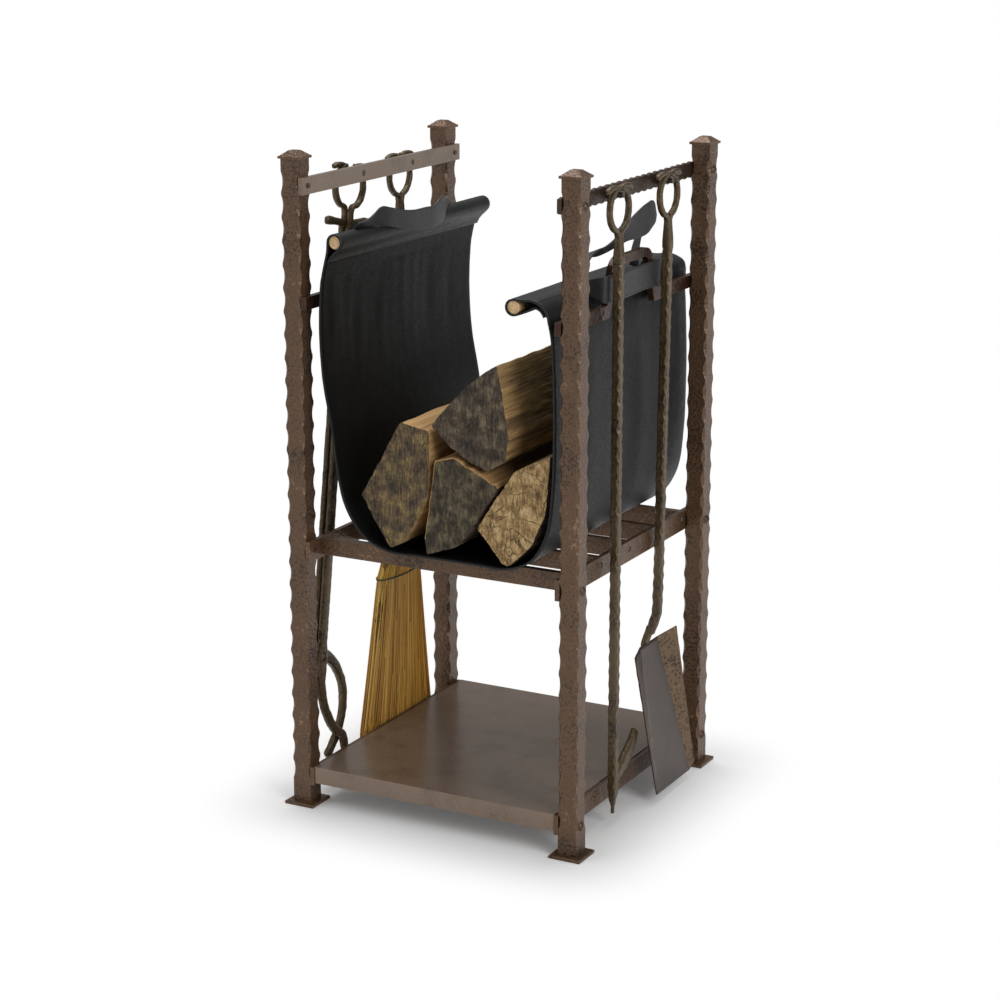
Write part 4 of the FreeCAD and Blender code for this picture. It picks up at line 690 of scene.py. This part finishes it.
def straw_tree():
    """Stems that leave the ferrule close together and spread past the twine to their ragged tips."""
    tree = bpy.data.node_groups.new("straw stems", "GeometryNodeTree")
    for label, kind, value in (("Stem Count", "Int", 3300), ("Stem Radius", "Float", 0.55 * MM),
                               ("Seed", "Int", 11), ("Bend", "Float", 6.0 * MM), ("Ragged", "Float", 0.1)):
        socket = tree.interface.new_socket(name=label, in_out="INPUT", socket_type=f"NodeSocket{kind}")
        socket.default_value = value
    tree.interface.new_socket(name="Geometry", in_out="OUTPUT", socket_type="NodeSocketGeometry")
    given = add_node(tree, "NodeGroupInput").outputs
    stems = add_node(tree, "GeometryNodeMeshLine", {"Count": given["Stem Count"], "Offset": (0, 0, 0)})
    drawn = stems.outputs["Mesh"]
    chances = {}
    for index, (label, low, high) in enumerate((("turn", 0, math.tau), ("reach", 0, 1), ("stem_tone", 0, 1),
                                                ("length", 0, 1), ("sway", -1, 1))):
        seed = add_node(tree, "ShaderNodeMath", {0: given["Seed"], 1: float(index * 37)}, operation="ADD")
        chance = add_node(tree, "FunctionNodeRandomValue",
                          {2: float(low), 3: float(high), "Seed": seed.outputs[0]}, data_type="FLOAT")
        drawn = add_node(tree, "GeometryNodeStoreNamedAttribute",
                         {"Geometry": drawn, "Name": label, "Value": chance.outputs[1]},
                         data_type="FLOAT", domain="POINT").outputs[0]
        chances[label] = add_node(tree, "GeometryNodeInputNamedAttribute", {"Name": label},
                                  data_type="FLOAT").outputs[0]
    stem = add_node(tree, "GeometryNodeMeshCylinder",
                    {"Vertices": 3, "Side Segments": 8, "Radius": given["Stem Radius"], "Depth": 1.0},
                    fill_type="NGON")
    spread = add_node(tree, "GeometryNodeInstanceOnPoints",
                      {"Points": drawn, "Instance": stem.outputs["Mesh"]})
    real = add_node(tree, "GeometryNodeRealizeInstances", {0: spread.outputs[0]}).outputs[0]
    here = add_node(tree, "GeometryNodeInputPosition").outputs[0]
    axes = add_node(tree, "ShaderNodeSeparateXYZ", {0: here}).outputs
    # 0 at the ferrule and 1 at the tips, with each stem cut to its own length.
    down = add_node(tree, "ShaderNodeMath", {0: 0.5, 1: axes["Z"]}, operation="SUBTRACT").outputs[0]
    trim = add_node(tree, "ShaderNodeMath", {0: chances["length"], 1: given["Ragged"]},
                    operation="MULTIPLY").outputs[0]
    kept = add_node(tree, "ShaderNodeMath", {0: 1.0, 1: trim}, operation="SUBTRACT").outputs[0]
    share = add_node(tree, "ShaderNodeMath", {0: down, 1: kept}, operation="MULTIPLY").outputs[0]
    band_share = (FERRULE_BOTTOM - BAND_Z) / (FERRULE_BOTTOM - STRAW_END_Z)
    upper = add_node(tree, "ShaderNodeMapRange", {0: share, 1: 0.0, 2: band_share, 3: 0.0, 4: 1.0},
                     interpolation_type="SMOOTHERSTEP").outputs[0]
    lower = add_node(tree, "ShaderNodeMapRange", {0: share, 1: band_share, 2: 1.0, 3: 0.0, 4: 1.0}).outputs[0]
    root = (left_x, broom_y, FERRULE_BOTTOM + 3)
    middles = [Vector(place) * MM for place in (root, (*BAND_MIDDLE, BAND_Z), (*TIPS_MIDDLE, STRAW_END_Z))]
    widths = [Vector((a, b, 0)) * MM for a, b in (STRAW_ROOT, STRAW_BAND, STRAW_TIPS)]
    results = []
    for first, second, third in (middles, widths):
        near = add_node(tree, "ShaderNodeMix", {0: upper, 4: first, 5: second}, data_type="VECTOR")
        whole = add_node(tree, "ShaderNodeMix", {0: lower, 4: near.outputs[1], 5: third}, data_type="VECTOR")
        results.append(whole.outputs[1])
    # Stems crowd towards the outside of the bundle, where they show.
    outward = add_node(tree, "ShaderNodeMath", {0: chances["reach"], 1: 0.28}, operation="POWER").outputs[0]
    cosine = add_node(tree, "ShaderNodeMath", {0: chances["turn"]}, operation="COSINE").outputs[0]
    sine = add_node(tree, "ShaderNodeMath", {0: chances["turn"]}, operation="SINE").outputs[0]
    unit = add_node(tree, "ShaderNodeCombineXYZ", {0: cosine, 1: sine}).outputs[0]
    aimed = add_node(tree, "ShaderNodeVectorMath", {0: unit, "Scale": outward}, operation="SCALE").outputs[0]
    offset = add_node(tree, "ShaderNodeVectorMath", {0: aimed, 1: results[1]},
                      operation="MULTIPLY").outputs[0]
    centre = add_node(tree, "ShaderNodeVectorMath", {0: offset, 1: results[0]}, operation="ADD").outputs[0]
    thick = add_node(tree, "ShaderNodeCombineXYZ", {0: axes["X"], 1: axes["Y"]}).outputs[0]
    bow = add_node(tree, "ShaderNodeMath", {0: down, 1: 2.0}, operation="POWER").outputs[0]
    swayed = add_node(tree, "ShaderNodeMath", {0: bow, 1: chances["sway"]},
                      operation="MULTIPLY").outputs[0]
    slide = add_node(tree, "ShaderNodeMath", {0: swayed, 1: given["Bend"]}, operation="MULTIPLY").outputs[0]
    aside = add_node(tree, "ShaderNodeCombineXYZ", {1: slide}).outputs[0]
    rounded = add_node(tree, "ShaderNodeVectorMath", {0: centre, 1: thick}, operation="ADD").outputs[0]
    final = add_node(tree, "ShaderNodeVectorMath", {0: rounded, 1: aside}, operation="ADD").outputs[0]
    bent = add_node(tree, "GeometryNodeSetPosition", {"Geometry": real, "Position": final}).outputs[0]
    dressed = add_node(tree, "GeometryNodeSetMaterial", {"Geometry": bent, "Material": STRAW}).outputs[0]
    add_node(tree, "NodeGroupOutput", {0: dressed})
    return tree


def grown(name, tree, guide):
    """The plain mesh that a geometry tree makes from a guide, which is then taken away."""
    growth = guide.modifiers.new(name, "NODES")
    growth.node_group = tree
    mesh = bpy.data.meshes.new_from_object(guide.evaluated_get(bpy.context.evaluated_depsgraph_get()))
    guide.modifiers.remove(growth)
    bpy.data.objects.remove(guide)
    mesh.name = name
    return shown(name, mesh)


TRIANGLE = ([(0, 0, 0), (1, 0, 0), (0, 1, 0)], [(0, 1, 2)])
stems = grown("broom_straw_stems", straw_tree(), piece("straw_guide", [TRIANGLE], STRAW))
finish_piece(stems, "broom", "straw")

TWINE_HALF = 0.9
twine_ring = []
for step in range(96):
    turn = math.tau * step / 96
    twine_ring.append((BAND_MIDDLE[0] + (STRAW_BAND[0] + 1.0) * math.cos(turn),
                       BAND_MIDDLE[1] + (STRAW_BAND[1] + 1.0) * math.sin(turn),
                       BAND_Z + 0.5 * math.sin(step * 1.9), TWINE_HALF, TWINE_HALF))
twine = piece("broom_twine", [swept(twine_ring, Vector((0, 0, 1)), 1.0, 8, closed=True)],
              GREEN_THREAD, 70)
finish_piece(twine, "broom", "stitch_thread", "broom_stitching")


# ---- the leather sling ----------------------------------------------------------------
sling_low, sling_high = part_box("sling_sheet")
SLING_FRONT, SLING_BACK = sling_low.y / MM, sling_high.y / MM
LEFT_ROLL, RIGHT_ROLL = middle("dowel_left").xz, middle("dowel_right").xz
dowel_low, dowel_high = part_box("dowel_left")
ROLL_RADIUS = (dowel_high.z - dowel_low.z) / 2 / MM + 1.4


def around(centre, start, stop, step):
    """Points of a dowel's leather roll, from one angle to another in degrees."""
    count = round(abs(stop - start) / step)
    angles = [math.radians(start + (stop - start) * i / count) for i in range(count + 1)]
    return [(centre.x + ROLL_RADIUS * math.cos(a), centre.y + ROLL_RADIUS * math.sin(a)) for a in angles]


# The sheet's middle line in X and Z, from the left hem's sewn edge to the right one's.
SLING_LINE = ([(-142.4, 703.6), (-139.6, 709.2), (-135.2, 714.6), (-128.6, 720.6)]
              + around(LEFT_ROLL, -30, 180, 21)
              + [(-142.6, 718), (-147.4, 699), (-151.2, 680), (-154.3, 620), (-151.3, 560), (-140.4, 500),
                 (-132.8, 444), (-121.0, 400.6), (-97.2, 368.2), (-62, 352.8), (-20, 352.6), (20, 352.6),
                 (62, 352.6), (104, 352.8), (135.3, 367.0), (156.0, 400.4), (163.8, 450), (166.2, 530),
                 (164.8, 600), (161.9, 645.6), (153.8, 670.8), (138.5, 681.6), (125, 681.4)]
              + around(RIGHT_ROLL, 90, 285, 19.5)
              + [(121, 665.6), (131, 669.6), (141, 674.2), (148.4, 670.6), (152.6, 664)])
line = evenly(spline([(x, 0, z) for x, z in SLING_LINE], 5), 4.0)
ACROSS_STEPS = 72
sling_points, sling_faces = [], []
for i, place in enumerate(line):
    before, after = line[max(i - 1, 0)], line[min(i + 1, len(line) - 1)]
    normal = (after - before).normalized().cross(Vector((0, 1, 0)))
    share = i / (len(line) - 1)
    # Near the hems the leather can ripple freely; lower down it lies on the wood and the shelf.
    free = min(max((place.z - 540) / 90, 0.0), 1.0) * (1.0 if 0.1 < share < 0.88 else 0.12)
    for j in range(ACROSS_STEPS + 1):
        y = SLING_FRONT + (SLING_BACK - SLING_FRONT) * j / ACROSS_STEPS
        ripple = (1.5 * noise.noise(Vector((y / 46, place.z / 190, 3.0 + (place.x > 0)))) +
                  0.7 * noise.noise(Vector((y / 17, place.z / 120, 8.0))))
        point = Vector((place.x, y, place.z)) - normal * ripple * free * 1.25
        # The fold over the carrier bar bulges out towards the back.
        fold = max(0.0, 1 - Vector((place.x - 154, place.z - 673)).length / 34)
        fold *= min(max((y - 15) / 150, 0), 1)
        point += Vector((8.0, 0, 4.0)) * fold
        point += normal * 0.18 * noise.noise(Vector((y / 9, share * 60, 5.0)))
        sling_points.append(point)
for i in range(len(line) - 1):
    for j in range(ACROSS_STEPS):
        a = i * (ACROSS_STEPS + 1) + j
        sling_faces.append((a, a + 1, a + ACROSS_STEPS + 2, a + ACROSS_STEPS + 1))
sling = piece("sling_leather_sheet", [(sling_points, sling_faces)], SLING_LEATHER, 80)
wall = sling.modifiers.new("leather thickness", "SOLIDIFY")
wall.thickness = LEATHER * MM
wall.offset = 0.0
# The inner shell gets the darker leather: painted shade inside the sling.
wall.material_offset = 1
sling.data.materials.append(SHADED_INNER_LEATHER)
finish_piece(sling, "sling", "sling_leather", "sling_sheet")


def band(keys, pitch=3.0, thickness=2.6):
    """A leather band through keys of (x, y, z, half width vector): its shell and its flat size."""
    stations = evenly(spline(keys, 7), pitch)
    rings, length, widths = [], 0.0, []
    for i, station in enumerate(stations):
        place, half = Vector(station[:3]), Vector(station[3:])
        before = Vector(stations[max(i - 1, 0)][:3])
        after = Vector(stations[min(i + 1, len(stations) - 1)][:3])
        along = (after - before).normalized()
        half -= along * half.dot(along)
        length += (place - before).length
        widths.append(2 * half.length)
        rings.append(section(place, half, half.cross(along).normalized() * thickness / 2, 0.28, 20))
    return loft(rings), (sum(widths) / len(widths) * MM, length * MM)


def strap(name, keys, replaced):
    """A leather strap that rides on the sling."""
    shell, flat = band(keys)
    made = piece(name, [shell], STRAP_LEATHER, 50)
    finish_piece(made, "sling", "sling_leather", *replaced)


STRAP_RIGHT_KEYS = [
    (147, -117, 679.5, 9, 6, 0), (150, -108, 686, 10, 3, 3), (150.5, -96, 702, 10, 1, 3),
    (150.5, -82, 716, 10, 0, 3), (150.5, -62, 721.5, 9.5, 0, 3.5), (150.5, -36, 719.5, 8.5, 0, 7),
    (150.5, -8, 722.5, 6.5, 0, 9), (150.5, 20, 729, 4, 0, 11.5), (150.5, 45, 734.5, 2, 0, 14),
    (150.5, 72, 738, 1, 0, 18), (150.5, 96, 742, 0, 0, 19.5), (150, 110, 746, 0, 0, 18),
    (149.3, 120, 748.5, -1, 0, 14.5), (148, 126, 750, -1, 0, 9)]
STRAP_TAIL_KEYS = [
    (146.6, 102, 741, 1, 9, 4), (145.4, 88, 726, 1, 9.2, 4), (145.5, 76, 709, 1, 9.5, 2),
    (146.5, 68, 686, 2, 9.5, 0)]
STRAP_LEFT_KEYS = [
    (-131, -139, 744.5, 3, -6, 3), (-127, -114, 745.5, 2, -3, 6), (-124, -102, 748.5, 1.5, 0, 9.5),
    (-122, -94, 751, 1.5, 0, 12), (-119.5, -78, 748, 1, 0, 12.3), (-118.5, -50, 741.5, 1, 0, 12.3),
    (-117.5, -22, 737, 1, 0, 13), (-117.5, 6, 735.5, 1, 0, 14), (-118, 32, 735, 1, -1, 14.3),
    (-119.5, 50, 740, 1.5, -4, 16), (-123, 66, 742.5, 2, -7, 15), (-128, 80, 739, 3, -6, 12.5),
    (-132, 92, 738.5, 4, -2, 6.5)]
strap("strap_right_band", STRAP_RIGHT_KEYS, ["strap_right"])
strap("strap_right_tail", STRAP_TAIL_KEYS, [])
strap("strap_left_band", STRAP_LEFT_KEYS, ["strap_left"])


def belt_keys(side):
    """A short wide band that passes outside the carrier bar's hump, from ridge to ridge."""
    loop_low, loop_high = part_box("belt_loop_right")
    x = loop_high.x / MM - 1.35
    z = (loop_low.z + loop_high.z) / 2 / MM
    half = []
    for hand in (-1, 1):
        half.append([(side * 151, hand * 77.8, 685.5, 0, 0, 6.5), (side * 160, hand * 78.2, 683, 0, 0, 11),
                     (side * 170, hand * 78.6, 681.4, 0, 0, 14.5), (side * (x - 3), hand * 77.6, z, 0, 0, 16),
                     (side * (x - 0.4), hand * 73, z, 0, 0, 16.6), (side * x, hand * 62, z, 0, 0, 16.6)])
    front = [(side * (x + 0.2), -30, z - 0.4, 0, 0, 16.8), (side * (x + 0.2), 24, z + 0.3, 0, 0, 16.4)]
    return half[0] + front + half[1][::-1]


for side, label in ((1, "right"), (-1, "left")):
    strap(f"belt_loop_{label}_band", belt_keys(side), [f"belt_loop_{label}"])


def stitch_tree():
    """Short raised stitches laid end to end along the edges of a guide."""
    tree = bpy.data.node_groups.new("saddle stitches", "GeometryNodeTree")
    for label, kind, value in (("Guide", "Geometry", None), ("Pitch", "Float", 6.0 * MM),
                               ("Stitch Length", "Float", 4.0 * MM), ("Thread Radius", "Float", 0.55 * MM)):
        socket = tree.interface.new_socket(name=label, in_out="INPUT", socket_type=f"NodeSocket{kind}")
        if value is not None:
            socket.default_value = value
    tree.interface.new_socket(name="Geometry", in_out="OUTPUT", socket_type="NodeSocketGeometry")
    given = add_node(tree, "NodeGroupInput").outputs
    seam = add_node(tree, "GeometryNodeMeshToCurve", {"Mesh": given["Guide"]}).outputs[0]
    spaced = add_node(tree, "GeometryNodeResampleCurve", {"Curve": seam, "Length": given["Pitch"]},
                      mode="LENGTH").outputs[0]
    stitch = add_node(tree, "GeometryNodeMeshUVSphere", {"Segments": 6, "Rings": 4, "Radius": 0.5})
    half = add_node(tree, "ShaderNodeMath", {0: given["Thread Radius"], 1: 2.0},
                    operation="MULTIPLY").outputs[0]
    size = add_node(tree, "ShaderNodeCombineXYZ", {0: half, 1: half, 2: given["Stitch Length"]}).outputs[0]
    tangent = add_node(tree, "GeometryNodeInputTangent").outputs[0]
    turned = add_node(tree, "FunctionNodeAlignRotationToVector", {"Vector": tangent}, axis="Z").outputs[0]
    sewn = add_node(tree, "GeometryNodeInstanceOnPoints",
                    {"Points": spaced, "Instance": stitch.outputs["Mesh"], "Rotation": turned, "Scale": size})
    real = add_node(tree, "GeometryNodeRealizeInstances", {0: sewn.outputs[0]}).outputs[0]
    dressed = add_node(tree, "GeometryNodeSetMaterial",
                       {"Geometry": real, "Material": BLACK_THREAD}).outputs[0]
    add_node(tree, "NodeGroupOutput", {0: dressed})
    return tree


def seam_object(name, lines):
    """A guide of bare edges, one chain for each line of points in millimetres."""
    mesh = bpy.data.meshes.new(name)
    points, edges = [], []
    for seam_line in lines:
        edges += [(len(points) + i, len(points) + i + 1) for i in range(len(seam_line) - 1)]
        points += [Vector(p) * MM for p in seam_line]
    mesh.from_pydata(points, edges, [])
    return shown(name, mesh)


def along_y(x, z, start, stop):
    """Points of a straight seam from front to back."""
    return [(x, start + (stop - start) * i / 40, z) for i in range(41)]


seams = [along_y(-139.1, 707.9, SLING_FRONT + 3, SLING_BACK - 3),
         along_y(143.2, 682.0, SLING_FRONT + 3, SLING_BACK - 3)]
for side in (1, -1):
    for z in (666.6, 695.4):
        seams.append(along_y(side * 181.2, z, -66, 66))
stitches = grown("sling_stitches", stitch_tree(), seam_object("sling_stitches_guide", seams))
finish_piece(stitches, "sling", "stitch_thread")


# ---- firewood ------------------------------------------------------------------------
# Each log: its section in X and height above the sling's floor, its pith, the numbers of its weathered sides,
# the tones of its sawn ends with the depth of their drying checks, the finish of its split sides and of its
# weathered ones, and the sides whose sawn edge is splintered, if any.
FLOOR_Z = sling_low.z / MM + LEATHER
LOGS = {
    "log_left": ([(-46, 164), (-103, 64), (-62, 1), (-41, 10), (-6, 73), (-4, 156)], (-30, 140), (0, 1),
                 ("#94804f", "#6c5a3c", "#4f4232", "#2e261c", 0.3), PALE_OAK, SPLIT_OAK),
    "log_middle": ([(3, 121), (-12, 19), (-9, 0), (33, 15), (55, 40), (90, 96), (86, 101), (29, 128)],
                   (60, 120), (3, 4), ("#7d7257", "#554b38", "#3c3427", "#221c15", 0.2),
                   PALE_OAK, BARK, (0, 6, 7)),
    "log_upper": ([(-4, 162), (21, 139), (55, 121), (75, 114), (99, 129), (105, 156), (99, 192), (88, 247),
                   (75, 239), (47, 218), (23, 194)],
                  (60, 170), (4, 5, 6, 7), ("#7b6d55", "#54483a", "#3c3328", "#251f18", 0.15),
                  SPLIT_OAK, OLD_OAK),
    "log_right": ([(60, 42), (95, 2), (104, 0), (137, 32), (155, 75), (160, 144), (112, 121), (79, 73)],
                  (100, 60), (3, 4), ("#cdb084", "#ab8e60", "#876c46", "#584228", 0.9),
                  SPLIT_OAK, BARK),
}


OUTLINE_POINTS, LOG_STATIONS = 110, 56
# How far each ring of a sawn end has shrunk towards its middle.
END_RINGS = (0.975, 0.9, 0.8, 0.68, 0.54, 0.4, 0.26, 0.12)


def log_outline(corners, count):
    """Points evenly round a section with its corners a little rounded, and the side each is on."""
    total = sum((Vector(b) - Vector(a)).length for a, b in zip(corners, corners[1:] + corners[:1]))
    outline = []
    for index, (a, b) in enumerate(zip(corners, corners[1:] + corners[:1])):
        a, b = Vector(a), Vector(b)
        steps = max(2, round((b - a).length / total * count))
        for step in range(steps):
            share = step / steps
            outline.append((a.lerp(b, share), index, min(share, 1 - share) * (b - a).length))
    rounded = []
    for i, (place, index, _) in enumerate(outline):
        before, after = outline[i - 1][0], outline[(i + 1) % len(outline)][0]
        rounded.append(((before + place * 2 + after) / 4, index))
    return rounded


def split_log(name, corners, pith, bark_sides, tones, side_wood, skin, rim_sides=()):
    """A split log: torn fibres along its sides, ridged bark, and rough sawn ends."""
    low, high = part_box(name)
    front, back = low.y / MM, high.y / MM
    outline = log_outline([(x, z + FLOOR_Z + 0.5) for x, z in corners], OUTLINE_POINTS)
    heart = sum((p for p, _ in outline), Vector((0, 0))) / len(outline)
    seed = float(sum(ord(letter) for letter in name) % 50)
    count = len(outline)
    stations = LOG_STATIONS
    points, faces, groups = [], [], []
    for i in range(stations + 1):
        share = i / stations
        for j, (place, side) in enumerate(outline):
            y = front + (back - front) * share
            tilt = 2.2 * noise.noise(Vector((place.x / 60, place.y / 60, seed + (share > 0.5))))
            y += (abs(tilt) + 0.3) * (1 - share * 2) if share in (0.0, 1.0) else 0
            inward = (heart - place).normalized()
            if side in bark_sides:
                depth = 1.6 + 1.9 * noise.noise(Vector((place.x / 7, y / 26, place.y / 7 + seed)))
            else:
                depth = (1.0 + 1.3 * noise.noise(Vector((place.x / 4.5, y / 150, place.y / 4.5 + seed)))
                         + 0.9 * noise.noise(Vector((place.x / 18, y / 60, place.y / 18 + seed))))
            place = place + inward * max(depth, 0.05)
            points.append(Vector((place.x, y, place.y)))
    for i in range(stations):
        for j in range(count):
            a, b, k = i * count, (i + 1) * count, (j + 1) % count
            faces.append((a + j, a + k, b + k, b + j))
            groups.append(2 if outline[j][1] in bark_sides else 1)
    # Each sawn end: rings that shrink to the pith side, raised and sunk by the saw and the drying checks.
    for start, inward in ((0, 1), (stations * count, -1)):
        ring = list(range(start, start + count))
        rim = [points[i].copy() for i in ring]
        centre = sum(rim, Vector((0, 0, 0))) / count
        for shrink in END_RINGS:
            fresh = []
            for edge in rim:
                p = centre.lerp(edge, shrink)
                p.y = centre.y * (1 - shrink) + edge.y * shrink
                angle = math.atan2(p.z - FLOOR_Z - pith[1], p.x - pith[0])
                split = max(0.0, noise.noise(Vector((angle * 3.4, seed, (p - centre).length / 130))) - 0.33)
                sawn = 0.5 * abs(noise.noise(Vector((p.x / 9, p.z / 5, seed))))
                p.y += inward * (sawn + 9 * split) * min(1, (1 - shrink) * 12)
                points.append(p)
                fresh.append(len(points) - 1)
            for j in range(count):
                k = (j + 1) % count
                faces.append((ring[k], ring[j], fresh[j], fresh[k]))
                # The sawn edge is splintered back to fresh wood in a narrow rim.
                groups.append(1 if shrink > 0.97 and outline[j][1] in rim_sides else 0)
            ring = fresh
        points.append(sum((points[i] for i in ring), Vector((0, 0, 0))) / count)
        for j in range(count):
            faces.append((ring[(j + 1) % count], ring[j], len(points) - 1))
            groups.append(0)
    end_wood = end_grain(f"sawn oak end of {name}", *tones)
    made = piece(f"{name}_split", [(points, faces)], end_wood, 42)
    made.data.materials.append(side_wood)
    made.data.materials.append(skin)
    made.data.polygons.foreach_set("material_index", groups)
    return finish_piece(made, name, "log_wood", name)


for log_name, log_facts in LOGS.items():
    split_log(log_name, *log_facts)


# ---- floor, light and camera ---------------------------------------------------------------
# In metres: half the floor, half the square under the rack, and how far beyond it the shadow fades.
FLOOR_HALF, SHADOW_HALF, FADE_OVER = 8, 0.19, 0.15
CAMERA_AZIMUTH, CAMERA_ELEVATION, CAMERA_DISTANCE = 28.1, 14.3, 3.224
CAMERA_TARGET = Vector((0, 0, 0.4213))
CAMERA_LENS, CAMERA_SHIFT = 91.03, (-0.0043, -0.030)
WORLD_STRENGTH = 0.34
# Each lamp's name, place, target, size and power.
SOFT_BOXES = [("key_right", (2.6, -1.3, 1.9), (0, 0, 0.45), (1.3, 1.6), 42),
              ("fill_left", (-2.2, -2.2, 1.5), (0, 0, 0.4), (1.4, 1.6), 10),
              ("top", (-0.3, 0.4, 2.8), (0, 0, 0.4), (1.8, 1.8), 44)]


def studio_floor():
    """White paper that shows the rack's shadow near it, and fades to plain white."""
    material = bpy.data.materials.new("matt white studio paper")
    material.use_nodes = True
    tree = material.node_tree
    tree.nodes.clear()
    place = add_node(tree, "ShaderNodeTexCoord").outputs["Object"]
    apart = add_node(tree, "ShaderNodeVectorMath", {0: place}, operation="ABSOLUTE").outputs[0]
    beyond = add_node(tree, "ShaderNodeVectorMath", {0: apart, 1: (SHADOW_HALF, SHADOW_HALF, 0)},
                      operation="SUBTRACT").outputs[0]
    outside = add_node(tree, "ShaderNodeVectorMath", {0: beyond, 1: (0, 0, 0)},
                       operation="MAXIMUM").outputs[0]
    far = add_node(tree, "ShaderNodeVectorMath", {0: outside}, operation="LENGTH").outputs["Value"]
    fade = add_node(tree, "ShaderNodeMapRange", {0: far, 1: 0.0, 2: FADE_OVER, 3: 0.08, 4: 1.0},
                    interpolation_type="SMOOTHSTEP").outputs[0]
    rays = add_node(tree, "ShaderNodeLightPath").outputs
    seen = add_node(tree, "ShaderNodeMath", {0: rays["Is Camera Ray"], 1: rays["Is Glossy Ray"]},
                    operation="MAXIMUM")
    lit = add_node(tree, "ShaderNodeMath", {0: seen.outputs[0], 1: fade}, operation="MULTIPLY").outputs[0]
    paper = add_node(tree, "ShaderNodeBsdfDiffuse", {"Color": hex_rgb("#f4f4f4")}).outputs[0]
    glow = add_node(tree, "ShaderNodeEmission", {"Color": (1, 1, 1, 1), "Strength": 1.0}).outputs[0]
    mixed = add_node(tree, "ShaderNodeMixShader", {0: lit, 1: paper, 2: glow}).outputs[0]
    add_node(tree, "ShaderNodeOutputMaterial", {"Surface": mixed})
    mesh = bpy.data.meshes.new("studio_floor")
    corners = [(x * FLOOR_HALF, y * FLOOR_HALF, -0.0005) for x, y in ((-1, -1), (1, -1), (1, 1), (-1, 1))]
    mesh.from_pydata(corners, [], [(0, 1, 2, 3)])
    mesh.materials.append(material)
    shown("studio_floor", mesh)


def studio_world():
    """A soft even light, seen as plain white by the camera."""
    world = bpy.data.worlds.new("studio")
    world.use_nodes = True
    tree = world.node_tree
    tree.nodes.clear()
    rays = add_node(tree, "ShaderNodeLightPath").outputs
    seen = rays["Is Camera Ray"]
    soft = add_node(tree, "ShaderNodeBackground",
                    {"Color": (1, 1, 1, 1), "Strength": WORLD_STRENGTH}).outputs[0]
    white = add_node(tree, "ShaderNodeBackground", {"Color": (1, 1, 1, 1), "Strength": 1.0}).outputs[0]
    mixed = add_node(tree, "ShaderNodeMixShader", {0: seen, 1: soft, 2: white}).outputs[0]
    add_node(tree, "ShaderNodeOutputWorld", {"Surface": mixed})
    bpy.context.scene.world = world


def soft_box(name, place, target, size, power):
    """A rectangular lamp that faces its target."""
    light = bpy.data.lights.new(name, "AREA")
    light.shape = "RECTANGLE"
    light.size, light.size_y = size
    light.energy = power
    lamp = shown(name, light)
    lamp.location = place
    lamp.rotation_euler = (Vector(target) - Vector(place)).to_track_quat("-Z", "Y").to_euler()


def studio_camera():
    """The camera, which looks straight at its target."""
    azimuth, elevation = math.radians(CAMERA_AZIMUTH), math.radians(CAMERA_ELEVATION)
    away = Vector((math.sin(azimuth) * math.cos(elevation), -math.cos(azimuth) * math.cos(elevation),
                   math.sin(elevation)))
    lens = bpy.data.cameras.new("studio_camera")
    lens.lens = CAMERA_LENS
    lens.sensor_width = 36
    lens.shift_x, lens.shift_y = CAMERA_SHIFT
    camera = shown("studio_camera", lens)
    camera.location = CAMERA_TARGET + away * CAMERA_DISTANCE
    camera.rotation_euler = (-away).to_track_quat("-Z", "Y").to_euler()
    bpy.context.scene.camera = camera


studio_camera()
studio_floor()
studio_world()
for box in SOFT_BOXES:
    soft_box(*box)
bpy.context.scene.view_settings.view_transform = "Standard"
